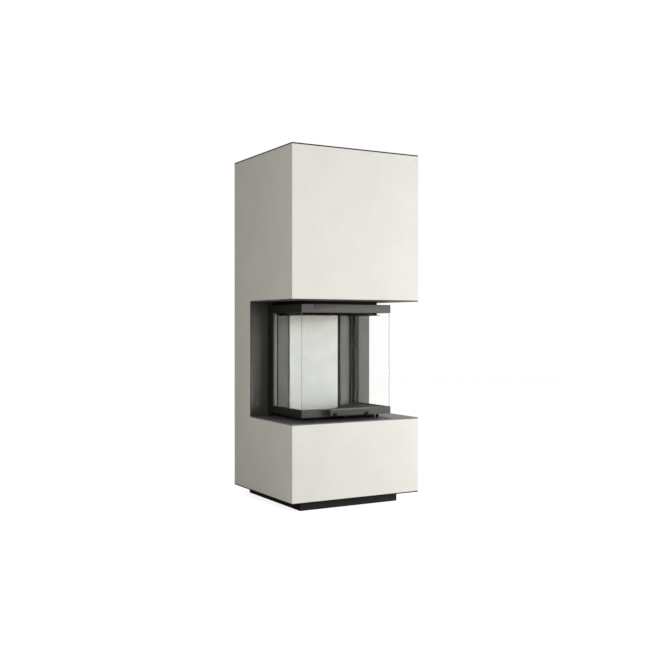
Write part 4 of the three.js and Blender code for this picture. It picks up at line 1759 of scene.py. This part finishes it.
    def _louvres(self, shop: Workshop) -> None:
        """Puts a column of hoods over each group of vent slots.

        Args:
            shop: The workshop.
        """
        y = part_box("rear_panel")[1].y + self.louvre_gap
        middle = sum(self.louvre_x) / 2
        reach = self.louvre_pitch * (self.louvre_rows - 1)
        hood = shop.pattern("louvre_hood", self._louvre)
        for side in Side:
            x = side.value * middle
            for label, start in (("lower", self.louvre_low), ("upper", self.louvre_high - reach)):
                line = ((x, y, start), (x, y, start + reach), self.louvre_rows)
                shop.row(f"vent_louvres_{label}_{side.label}", hood, ZINC_SHEET, line)


@dataclass
class PlinthSet:
    """The set-back plinth ring and the levelling feet inside it."""

    ease: float = 0.6 * MM
    pad_edge: Steps = ((0.8, 0.0), (0.0, 0.8), (0.0, 4.0), (1.0, 5.0))
    stem_foot: Steps = ((-3.0, 8.6), (0.0, 9.0))
    stem_head: Steps = ((0.0, 8.0),)
    stem_inset: float = 0.6 * MM
    nut_radius: float = 13.0 * MM
    nut_edge: Steps = ((0.8, 8.0), (0.0, 7.2), (0.0, 0.8), (0.8, 0.0))
    foot_segments: int = 48
    thread_radius: float = 8.0 * MM
    thread_depth: float = 0.8 * MM
    thread_pitch: float = 2.0 * MM
    thread_gap: float = 0.1 * MM
    thread_start: float = 13.0 * MM
    thread_margin: float = 10.0 * MM
    thread_segments: int = 24

    def build(self, shop: Workshop) -> None:
        """Builds the set.

        Args:
            shop: The workshop.
        """
        # The plinth's flanks take painted shade.
        shop.eased("plinth_frame", PLINTH_STEEL, self.ease, painted_flank=PLINTH_FLANK_PAINTED_SHADE)
        for place in ("front_left", "front_right", "rear_left", "rear_right"):
            self._foot(shop, place)

    def _foot(self, shop: Workshop, place: str) -> None:
        """Turns one foot and winds its thread.

        Args:
            shop: The workshop.
            place: The corner that it stands in.
        """
        node = f"levelling_foot_{place}"
        low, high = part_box(node)
        x, y, top = (low.x + high.x) / 2, (low.y + high.y) / 2, high.z
        pad, stem = (high.x - low.x) / 2, self.thread_radius - self.stem_inset
        profile = [
            (0.0, 0.0),
            *stepped(pad, 0.0, self.pad_edge),
            *stepped(stem, 0.0, self.stem_foot),
            *stepped(stem, top, self.stem_head, -1.0),
            *stepped(self.nut_radius, top, self.nut_edge, -1.0),
            (0.0, top),
        ]
        work = shop.lathe(profile, (x, y, 0.0), segments=self.foot_segments)
        shop.fit(shop.publish(f"turned_foot_{place}", work), Part.ROOT, ZINC_SHEET, [node])
        first, last = self.thread_start, top - self.thread_margin
        line = ((x, y, first), (x, y, last), int((last - first) / self.thread_pitch))
        ridge = shop.pattern("thread_ridge", self._ridge)
        shop.row(f"foot_thread_{place}", ridge, BRIGHT_STEEL, line)

    def _ridge(self) -> bmesh.types.BMesh:
        """Turns one ridge of the thread, a ring of triangular section.

        Returns:
            The mesh.
        """
        half = self.thread_pitch / 2 - self.thread_gap
        root = self.thread_radius - self.thread_depth
        profile = [(root, -half), (self.thread_radius, 0.0), (root, half)]
        return Workshop.lathe(profile, (0.0, 0.0, 0.0), segments=self.thread_segments)


@dataclass
class RecessLining:
    """Dark sheet that lines the recess, and the zinc frame that carries the upper box."""

    ease: float = 0.5 * MM

    def build(self, shop: Workshop) -> None:
        """Builds the lining and the frame.

        Args:
            shop: The workshop.
        """
        # The floor plate and the right back plate take lighter copies of the sheet, painted
        # light.
        shop.eased("recess_floor_plate", FLOOR_SHEET_PAINTED_LIGHT, self.ease)
        for node in ("recess_ceiling_plate", "recess_back_plate_left"):
            shop.eased(node, DARK_SHEET, self.ease)
        shop.eased("recess_back_plate_right", PAINTED_LIGHT_SHEET, self.ease)
        for node in ("rear_post_left", "rear_post_right", "upper_arm_left", "upper_arm_right"):
            shop.eased(node, ZINC_SHEET, self.ease)


@dataclass
class FireChamber:
    """Linings, door guides, hearth, sheet shell, collar, hood and baffles."""

    lining_ease: float = 1.2 * MM
    guide_ease: float = 0.4 * MM
    iron_ease: float = 1.6 * MM
    sheet_ease: float = 0.5 * MM
    baffle_ease: float = 1.5 * MM
    round_steps: int = 3

    def build(self, shop: Workshop) -> None:
        """Builds the chamber.

        Args:
            shop: The workshop.
        """
        steps = self.round_steps
        shop.eased("back_lining", WHITE_LINING, self.lining_ease, steps)
        for side in Side:
            shop.eased(f"side_lining_{side.label}", GREY_LINING, self.lining_ease, steps)
            # The guides are one steel, with painted shade on the left and painted light on the
            # right.
            steel = LEFT_GUIDE_PAINTED_SHADE if side is Side.LEFT else RIGHT_GUIDE_PAINTED_LIGHT
            shop.eased(f"door_guide_{side.label}", steel, self.guide_ease)
        shop.eased("hearth_tray", CAST_IRON, self.iron_ease, steps)
        for node in ("firebox_base", "firebox_top", "back_shell", "smoke_hood"):
            shop.eased(node, BLACK_STEEL, self.sheet_ease)
        shop.eased("front_lintel", COLLAR_STEEL, self.sheet_ease)
        for node in ("lower_baffle", "upper_baffle"):
            shop.eased(node, BAFFLE_BOARD, self.baffle_ease)


@dataclass
class FlueSpigot:
    """The smoke outlet with a rolled rim, a pressed bead and a screwed flange."""

    outer: float = 75.0 * MM
    bore: float = 72.0 * MM
    flange_edge: Steps = ((0.6, 0.0), (0.0, 0.6), (0.0, 4.4), (0.6, 5.0))
    flange_height: float = 5.0 * MM
    root: Steps = ((-1.0, 5.0), (0.0, 6.0))
    bead: Steps = ((0.0, 22.0), (1.2, 20.0), (1.2, 17.0), (0.0, 15.0))
    rim: Steps = ((0.0, 1.2), (1.0, 0.0))
    mouth: Steps = ((-0.6, 0.0), (0.0, 0.8))
    screw_radius: float = 4.2 * MM
    screw_height: float = 2.2 * MM
    screw_circle: float = 84.0 * MM
    screws: int = 8

    def build(self, shop: Workshop) -> None:
        """Turns the spigot and screws its flange to the hood.

        Args:
            shop: The workshop.
        """
        low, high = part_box("flue_pipe")
        x, y = (low.x + high.x) / 2, (low.y + high.y) / 2
        profile = [
            (self.bore, low.z),
            *stepped((high.x - low.x) / 2, low.z, self.flange_edge),
            *stepped(self.outer, low.z, self.root),
            *stepped(self.outer, high.z, self.bead + self.rim, -1.0),
            *stepped(self.bore, high.z, self.mouth, -1.0),
        ]
        pipe = shop.publish("flue_spigot", shop.lathe(profile, (x, y, 0.0)))
        shop.fit(pipe, Part.ROOT, BLACK_STEEL, ["flue_pipe"])
        head = shop.screw_head(self.screw_radius, self.screw_height)
        circle = ((x, y, low.z + self.flange_height), self.screw_circle, self.screws)
        shop.screw_ring("flue_flange_screws", head, circle)


@dataclass
class AirSpigot:
    """The outside-air inlet, whose flange is screwed to the rear panel."""

    outer: float = 62.5 * MM
    bore: float = 60.0 * MM
    flange_thickness: float = 2.7 * MM
    flange_front: Steps = ((0.3, 0.0), (0.0, 0.3))
    flange_rear: Steps = ((0.0, 0.7), (0.6, 0.0))
    mouth: Steps = ((-1.0, 0.0), (0.0, 1.0))
    screw_radius: float = 3.4 * MM
    screw_height: float = 1.6 * MM
    screw_circle: float = 70.0 * MM
    screws: int = 6

    def build(self, shop: Workshop) -> None:
        """Turns the spigot and screws its flange to the rear panel.

        Args:
            shop: The workshop.
        """
        low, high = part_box("air_inlet_pipe")
        height, flange = (low.z + high.z) / 2, (high.x - low.x) / 2
        face = high.y - self.flange_thickness
        profile = [
            (self.bore, low.y),
            (self.outer, low.y),
            (self.outer, face),
            *stepped(flange, face, self.flange_front),
            *stepped(flange, high.y, self.flange_rear, -1.0),
            *stepped(self.bore, high.y, self.mouth, -1.0),
        ]
        pipe = shop.publish("air_spigot", shop.lathe(profile, (0.0, 0.0, height), "Y"))
        shop.fit(pipe, Part.ROOT, ZINC_SHEET, ["air_inlet_pipe"])
        head = shop.screw_head(self.screw_radius, self.screw_height)
        circle = ((0.0, high.y - self.screw_height, height), self.screw_circle, self.screws)
        shop.screw_ring("air_flange_screws", head, circle, FORWARD, REARWARD)


@dataclass
class LiftingDoor:
    """The U-shaped glass door with its handle and carriages."""

    bar_ease: float = 0.8 * MM
    stile_ease: float = 0.5 * MM
    carriage_ease: float = 0.4 * MM
    standoff_ease: float = 2.0 * MM
    standoff_steps: int = 3
    pane_ease: float = 0.3 * MM
    seal_width: float = 0.7 * MM
    seal_ease: float = 0.15 * MM
    seal_gap: float = 0.05 * MM
    seal_margin: float = 1.0 * MM
    bead: Strand = Strand(radius=0.45 * MM, lobes=6, groove=0.12, step=50.0 * MM)
    bead_margin: float = 12.0 * MM
    bead_lift: float = 0.3 * MM
    buffer_nose: Steps = ((2.5, 0.0), (1.2, 0.6), (0.6, 2.4))
    buffer_head: Steps = ((0.6, 4.0), (0.0, 3.4), (0.0, 0.4), (0.4, 0.0))
    buffer_segments: int = 40
    handle_ease: float = 0.8 * MM
    handle_lip: float = 7.5 * MM
    handle_lean: float = 1.6 * MM
    # Normal limits of the facets that take the painted highlight.
    lip_normal_y: float = -0.2
    lip_normal_z: float = 0.1
    clip_rise: float = 12.0 * MM
    clip_sheet: float = 1.2 * MM
    clip_ease: float = 0.3 * MM
    clip_gap: float = 0.1 * MM
    clip_end_gap: float = 0.05 * MM
    screw_radius: float = 3.0 * MM
    screw_height: float = 1.4 * MM

    def build(self, shop: Workshop) -> None:
        """Builds the door.

        Args:
            shop: The workshop.
        """
        # The bars' flanks take painted shade, and the top bar's front is painted lighter.
        shop.eased("door_bottom_bar", DOOR_STEEL, self.bar_ease, painted_flank=DOOR_FLANK_PAINTED_SHADE)
        shop.eased("door_top_bar", TOP_BAR_PAINTED_LIGHT, self.bar_ease, painted_flank=DOOR_FLANK_PAINTED_SHADE)
        self._pane(shop, "front_glass", "y")
        for side in Side:
            self._pane(shop, f"{side.label}_glass", "x")
            self._corner_seal(shop, side)
            # The stiles take lit and shaded copies of one steel: painted light on the left
            # stile's front and the right stile's flanks, painted shade on the right stile's front
            # and the left stile's flanks.
            steel, painted_flank = RIGHT_STILE_PAINTED_SHADE, RIGHT_STILE_FLANK_PAINTED_LIGHT
            if side is Side.LEFT:
                steel, painted_flank = LEFT_STILE_PAINTED_LIGHT, DOOR_FLANK_PAINTED_SHADE
            shop.eased(f"rear_stile_{side.label}", steel, self.stile_ease, painted_flank=painted_flank)
            shop.eased(f"carriage_{side.label}", BRIGHT_STEEL, self.carriage_ease)
            standoff = f"handle_standoff_{side.label}"
            shop.eased(standoff, BLACK_STEEL, self.standoff_ease, self.standoff_steps)
            self._buffer(shop, side)
        self._handle(shop)
        self._handle_screws(shop)
        self._beads(shop)

    def _pane(self, shop: Workshop, node: str, through: str) -> None:
        """Cuts one pane with a ground rim.

        Args:
            shop: The workshop.
            node: The pane's node.
            through: The axis across its thickness.
        """
        work = shop.block(*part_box(node))
        axis = "xyz".index(through)
        for face in work.faces:
            face.material_index = 0 if abs(face.normal[axis]) > FACING else 1
        bmesh.ops.bevel(
            work,
            geom=work.edges[:],
            offset=self.pane_ease,
            segments=1,
            affect="EDGES",
            material=1,
        )
        piece = shop.publish(f"{node}_pane", work, CRISP_SHADING)
        for finish in (FIRE_GLASS, GLASS_RIM):
            piece.data.materials.append(shop.paints.of(finish))
        shop.fit(piece, Part.DOOR, None, [node])

    def _corner_seal(self, shop: Workshop, side: Side) -> None:
        """Fills the joint between the front pane and a side pane.

        Args:
            shop: The workshop.
            side: The side of the joint.
        """
        front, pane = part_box("front_glass"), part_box(f"{side.label}_glass")
        near, far = front[1].y + self.seal_gap, pane[0].y - self.seal_gap
        middle, half = (pane[0].x + pane[1].x) / 2, self.seal_width / 2
        low = (middle - half, near, pane[0].z + self.seal_margin)
        high = (middle + half, far, pane[1].z - self.seal_margin)
        work = shop.block(low, high, self.seal_ease)
        shop.fit(shop.publish(f"corner_seal_{side.label}", work), Part.DOOR, SEAL_TAPE)

    def _buffer(self, shop: Workshop, side: Side) -> None:
        """Turns one rubber buffer under the bottom bar.

        Args:
            shop: The workshop.
            side: The side that it is on.
        """
        node = f"door_buffer_{side.label}"
        low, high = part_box(node)
        centre = ((low.x + high.x) / 2, (low.y + high.y) / 2, 0.0)
        radius = (high.x - low.x) / 2
        profile = [
            (0.0, low.z),
            *stepped(radius, low.z, self.buffer_nose),
            *stepped(radius, high.z, self.buffer_head, -1.0),
            (0.0, high.z),
        ]
        work = shop.lathe(profile, centre, segments=self.buffer_segments)
        shop.fit(shop.publish(f"rubber_buffer_{side.label}", work), Part.DOOR, RUBBER, [node])

    def _handle(self, shop: Workshop) -> None:
        """Builds the bar with its lip leaning back, and the clips that hold it from below.

        Args:
            shop: The workshop.
        """
        low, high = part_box("handle_bar")
        outline = [
            (low.y, low.z),
            (low.y, high.z - self.handle_lip),
            (low.y + self.handle_lean, high.z),
            (high.y, high.z),
            (high.y, low.z),
        ]
        work = shop.extruded(outline, low.x, high.x, self.handle_ease)
        bar = shop.publish("handle_grip", work, CRISP_SHADING)
        shop.fit(bar, Part.DOOR, HANDLE_PAINTED_SHADE, ["handle_bar"])
        # Facets turned up and forward take the lighter copy, a painted highlight.
        bar.data.materials.append(shop.paints.of(HANDLE_PAINTED_HIGHLIGHT))
        for face in bar.data.polygons:
            upper, ahead = face.normal.z > self.lip_normal_z, face.normal.y < self.lip_normal_y
            face.material_index = int(upper and ahead)
        sheet = self.clip_sheet
        front, floor = low.y - self.clip_gap, low.z - self.clip_gap
        for side in Side:
            near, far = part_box(f"handle_standoff_{side.label}")
            end = near.y - self.clip_end_gap
            outline = [
                (front - sheet, floor - sheet),
                (front - sheet, low.z + self.clip_rise),
                (front, low.z + self.clip_rise),
                (front, floor),
                (end, floor),
                (end, floor - sheet),
            ]
            work = shop.extruded(outline, near.x, far.x, self.clip_ease)
            clip = shop.publish(f"handle_clip_{side.label}", work, CRISP_SHADING)
            # The clips' near black is partly painted shadow under the handle's ends.
            shop.fit(clip, Part.DOOR, CLIP_PAINTED_SHADE)

    def _handle_screws(self, shop: Workshop) -> None:
        """Puts a screw under each standoff.

        Args:
            shop: The workshop.
        """
        left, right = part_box("handle_standoff_left"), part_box("handle_standoff_right")
        y = (left[0].y + left[1].y) / 2
        first, last = (((low.x + high.x) / 2, y, low.z) for low, high in (left, right))
        head = shop.screw_head(self.screw_radius, self.screw_height)
        line = (first, last, len(Side))
        shop.row("handle_screws", head, SCREW_STEEL, line, DOWNWARD, Part.DOOR)

    def _beads(self, shop: Workshop) -> None:
        """Lays a thin seal bead where the panes leave the bars.

        Args:
            shop: The workshop.
        """
        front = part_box("front_glass")[0]
        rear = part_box("left_glass")[1].y - self.bead_margin
        out = abs(front.x) + self.bead.radius
        ahead = front.y - self.bead.radius
        heights = {
            "bottom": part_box("door_bottom_bar")[1].z,
            "top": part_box("rear_stile_left")[1].z + self.bead_lift,
        }
        for label, z in heights.items():
            path = [(-out, rear, z), (-out, ahead, z), (out, ahead, z), (out, rear, z)]
            bead = shop.strand(f"glass_bead_{label}", path, self.bead, SEAL_TAPE)
            shop.fit(bead, Part.DOOR)


@dataclass
class LiftGear:
    """Cables, pulleys, axles, brackets and counterweights."""

    bracket_ease: float = 0.5 * MM
    weight_ease: float = 1.2 * MM
    pitch_radius: float = 60.0 * MM
    pulley_width: float = 14.0 * MM
    bore: float = 6.3 * MM
    hub_radius: float = 15.0 * MM
    hub_slope: float = 1.5 * MM
    web_thickness: float = 7.0 * MM
    web_margin: float = 8.0 * MM
    rim_margin: float = 6.0 * MM
    rim: float = 66.0 * MM
    rim_inset: float = 0.6 * MM
    rim_chamfer: float = 0.8 * MM
    groove_depth: float = 1.2 * MM
    groove_rise: float = 1.0 * MM
    groove_flare: float = 0.4 * MM
    groove_floor: float = 0.6 * MM
    axle_start: Steps = ((0.8, 0.0), (0.0, 0.8))
    axle_end: Steps = ((0.0, 0.8), (0.8, 0.0))
    axle_segments: int = 40
    cable: Strand = Strand(
        radius=1.5 * MM, lobes=7, groove=0.22, step=2.0 * MM, lay_length=22.0 * MM
    )
    cable_gap: float = 0.2 * MM
    arc_steps: int = 40
    bend_spare: float = 65.0 * MM

    def build(self, shop: Workshop) -> None:
        """Builds the gear.

        Args:
            shop: The workshop.
        """
        for side in Side:
            self._pulley(shop, side)
            self._axle(shop, side)
            shop.eased(f"pulley_bracket_{side.label}", ZINC_SHEET, self.bracket_ease)
            shop.eased(f"counterweight_{side.label}", WEIGHT_IRON, self.weight_ease)
            self._cable(shop, side)

    @staticmethod
    def _centre(node: str) -> Vector:
        """The middle of a node's box."""
        low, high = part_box(node)
        return (low + high) / 2

    def _pulley(self, shop: Workshop, side: Side) -> None:
        """Turns a grooved pulley with a thinner web and a hub.

        Args:
            shop: The workshop.
            side: The side that it is on.
        """
        node = f"pulley_{side.label}"
        half, web = self.pulley_width / 2, self.web_thickness / 2
        groove = self.pitch_radius - self.cable.radius - self.groove_depth
        right = [
            (self.bore, half),
            (self.hub_radius, half),
            (self.hub_radius + self.hub_slope, web),
            (groove - self.web_margin, web),
            (groove - self.rim_margin, half),
            (self.rim - self.rim_inset, half),
            (self.rim, half - self.rim_chamfer),
            (groove + self.groove_rise, self.cable.radius + self.groove_flare),
            (groove, self.cable.radius - self.groove_floor),
        ]
        profile = [(radius, -x) for radius, x in right] + right[::-1]
        work = shop.lathe(profile, tuple(self._centre(node)), "X")
        shop.fit(shop.publish(f"grooved_{node}", work), side.pulley, BRIGHT_STEEL, [node])

    def _axle(self, shop: Workshop, side: Side) -> None:
        """Turns an axle with chamfered ends.

        Args:
            shop: The workshop.
            side: The side that it is on.
        """
        node = f"pulley_axle_{side.label}"
        low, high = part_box(node)
        half, radius = (high.x - low.x) / 2, (high.z - low.z) / 2
        profile = [
            (0.0, -half),
            *stepped(radius, -half, self.axle_start),
            *stepped(radius, half, self.axle_end, -1.0),
            (0.0, half),
        ]
        work = shop.lathe(profile, tuple(self._centre(node)), "X", self.axle_segments)
        axle = shop.publish(f"turned_axle_{side.label}", work)
        shop.fit(axle, Part.ROOT, BRIGHT_STEEL, [node])

    def _cable(self, shop: Workshop, side: Side) -> None:
        """Lays a stranded cable in three stretches: rise, arc and fall.

        On the real fire the rise shortens with the door and the fall lengthens with the
        counterweight. Here the rise and the fall are laid in place and ride on no body; the arc
        rides on the fixed body.

        Args:
            shop: The workshop.
            side: The side that it is on.
        """
        centre, radius = self._centre(f"pulley_{side.label}"), self.pitch_radius
        x, axis = centre.x, centre.z
        front, rear = centre.y - radius, centre.y + radius
        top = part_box(f"carriage_{side.label}")[1].z
        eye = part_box(f"counterweight_{side.label}")[1].z
        arc = []
        for step in range(self.arc_steps + 1):
            angle = math.pi * step / self.arc_steps
            y, z = centre.y - radius * math.cos(angle), axis + radius * math.sin(angle)
            arc.append((x, y, z))
        stretches = {
            "rise": [(x, front, top + self.cable_gap), (x, front, axis)],
            "arc": arc,
            "fall": [(x, rear, axis), (x, rear, eye + self.cable_gap)],
        }
        pieces = {
            label: shop.strand(f"cable_{label}_{side.label}", path, self.cable, BRIGHT_STEEL)
            for label, path in stretches.items()
        }
        node, spare = f"lift_cable_{side.label}", self.bend_spare
        shop.fit(pieces["arc"], Part.ROOT, None, [node])
        ends = {
            "rise": (Part.DOOR, (x, front, top - spare), (x, front, axis + spare)),
            "fall": (side.weight, (x, rear, eye), (x, rear, axis)),
        }
        for label, (body, start, end) in ends.items():
            piece = pieces[label]
            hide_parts(node)
            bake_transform(piece)
            LOG.info("%s: %d faces", piece.name, len(piece.data.polygons))


@dataclass
class AirControl:
    """The air slider with its tongue under the door."""

    ease: float = 0.8 * MM

    def build(self, shop: Workshop) -> None:
        """Builds the slider."""
        shop.eased("air_slider", BLACK_STEEL, self.ease)


# ---------------------------------------------------------------------- studio

WARM: Colour = (1.0, 0.97, 0.9)

# Between no bounce off a matt surface and one
FIRST_BOUNCE = 0.5


@dataclass
class Lamp:
    """One soft area lamp."""

    name: str
    place: Point
    aim: Point
    width: float
    height: float
    watts: float
    colour: Colour = WHITE[:3]

    def build(self) -> None:
        """Hangs the lamp."""
        data = bpy.data.lights.new(self.name, "AREA")
        data.shape = "RECTANGLE"
        data.size, data.size_y = self.width, self.height
        data.energy = self.watts
        data.color = self.colour
        lamp = bpy.data.objects.new(self.name, data)
        lamp.location = self.place
        sight = Vector(self.aim) - Vector(self.place)
        lamp.rotation_euler = sight.to_track_quat("-Z", "Y").to_euler()
        bpy.context.scene.collection.objects.link(lamp)


@dataclass
class Studio:
    """The camera, a pale floor, soft lamps and a white surround."""

    camera_place: Point = (-2.386, -4.237, 0.895)
    camera_yaw: float = 29.433
    lens: float = 51.87
    sensor: float = 36.0
    floor_half: float = 9.0
    floor_drop: float = 0.4 * MM
    floor_colour: Colour = (0.78, 0.775, 0.76)
    floor_glow: float = 0.86
    ambient: Colour = (0.171, 0.1655, 0.1535)
    lamps: tuple[Lamp, ...] = (
        Lamp("key", (4.0, -3.9, 1.4), (0.0, 0.0, 0.85), 2.6, 2.2, 197.0),
        Lamp("low_key", (2.1, -1.75, 0.3), (0.2, -0.3, 0.3), 0.9, 0.6, 18.0),
        Lamp("front_fill", (-1.9, -2.3, 1.5), (-0.36, -0.2, 1.1), 1.2, 1.2, 19.0, WARM),
        Lamp("side_fill", (-4.4, -1.2, 1.9), (-0.36, -0.1, 1.0), 2.4, 2.4, 15.0, WARM),
    )

    def build(self) -> None:
        """Builds the studio and sets the scene's camera."""
        scene = bpy.context.scene
        scene.view_settings.view_transform = "Standard"
        data = bpy.data.cameras.new("photo_camera")
        data.lens = self.lens
        data.sensor_width = self.sensor
        camera = bpy.data.objects.new("photo_camera", data)
        camera.location = self.camera_place
        camera.rotation_euler = (math.radians(90.0), 0.0, -math.radians(self.camera_yaw))
        scene.collection.objects.link(camera)
        scene.camera = camera
        for lamp in self.lamps:
            lamp.build()
        self._floor()
        self._surround()

    @staticmethod
    def _seen(desk: NodeDesk) -> bpy.types.NodeSocket:
        """One for rays from the camera, and for those that metal and glass send on.

        A ray that a matt surface has sent through glass counts as light, not as sight.

        Args:
            desk: The tree's desk.

        Returns:
            The socket.
        """
        path = desk.add("ShaderNodeLightPath").outputs
        either = desk.math("MAXIMUM", path["Is Camera Ray"], path["Is Glossy Ray"])
        seen = desk.math("MAXIMUM", either, path["Is Transmission Ray"])
        direct = desk.math("LESS_THAN", path["Diffuse Depth"], FIRST_BOUNCE)
        return desk.math("MULTIPLY", seen, direct)

    def _floor(self) -> None:
        """Lays the pale floor, which keeps a faint shadow of the object."""
        work = bmesh.new()
        half = self.floor_half
        corners = [(-half, -half), (half, -half), (half, half), (-half, half)]
        work.faces.new([work.verts.new((x, y, -self.floor_drop)) for x, y in corners])
        mesh = bpy.data.meshes.new("studio_floor")
        work.to_mesh(mesh)
        work.free()
        floor = bpy.data.objects.new("studio_floor", mesh)
        bpy.context.scene.collection.objects.link(floor)
        material, desk = open_material("studio_floor", self.floor_colour)
        glow = desk.math("MULTIPLY", self._seen(desk), self.floor_glow)
        matt = {
            "Base Color": (*self.floor_colour, 1.0),
            "Roughness": 1.0,
            "Specular IOR Level": 0.0,
        }
        shader = desk.add("ShaderNodeBsdfPrincipled", matt)
        light = desk.add("ShaderNodeEmission", {"Color": WHITE, "Strength": glow})
        both = desk.add("ShaderNodeAddShader", {0: shader.outputs[0], 1: light.outputs[0]})
        desk.surface(both.outputs[0])
        mesh.materials.append(material)

    def _surround(self) -> None:
        """Sets the world: a soft even light, seen as plain white."""
        world = bpy.data.worlds.new("studio_surround")
        world.use_nodes = True
        world.node_tree.nodes.clear()
        desk = NodeDesk(world.node_tree)
        light, white = (
            desk.add("ShaderNodeBackground", {"Color": colour, "Strength": 1.0}).outputs[0]
            for colour in ((*self.ambient, 1.0), WHITE)
        )
        mixed = desk.add("ShaderNodeMixShader", {0: self._seen(desk), 1: light, 2: white})
        desk.surface(mixed.outputs[0], "ShaderNodeOutputWorld")
        bpy.context.scene.world = world


def main() -> None:
    """Loads the frame, dresses each sub-assembly and sets the studio."""
    logging.basicConfig(level=logging.INFO, format="%(name)s %(message)s")
    for kind in (bpy.data.objects, bpy.data.lights, bpy.data.cameras):
        for item in list(kind):
            kind.remove(item)
    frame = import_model()
    members = frame["record"]["behaviour"]["bodies"]
    bodies = {node: body for body, nodes in members.items() for node in nodes}
    shop = Workshop(Paints(), RepeatTrees(), frame["nodes"], bodies)
    Studio().build()
    assemblies = (
        CladdingSet(),
        PlinthSet(),
        RecessLining(),
        FireChamber(),
        FlueSpigot(),
        AirSpigot(),
        LiftingDoor(),
        LiftGear(),
        AirControl(),
    )
    for assembly in assemblies:
        LOG.info("building %s", type(assembly).__name__)
        assembly.build(shop)
    shop.clear_patterns()


if __name__ == "__main__":
    main()
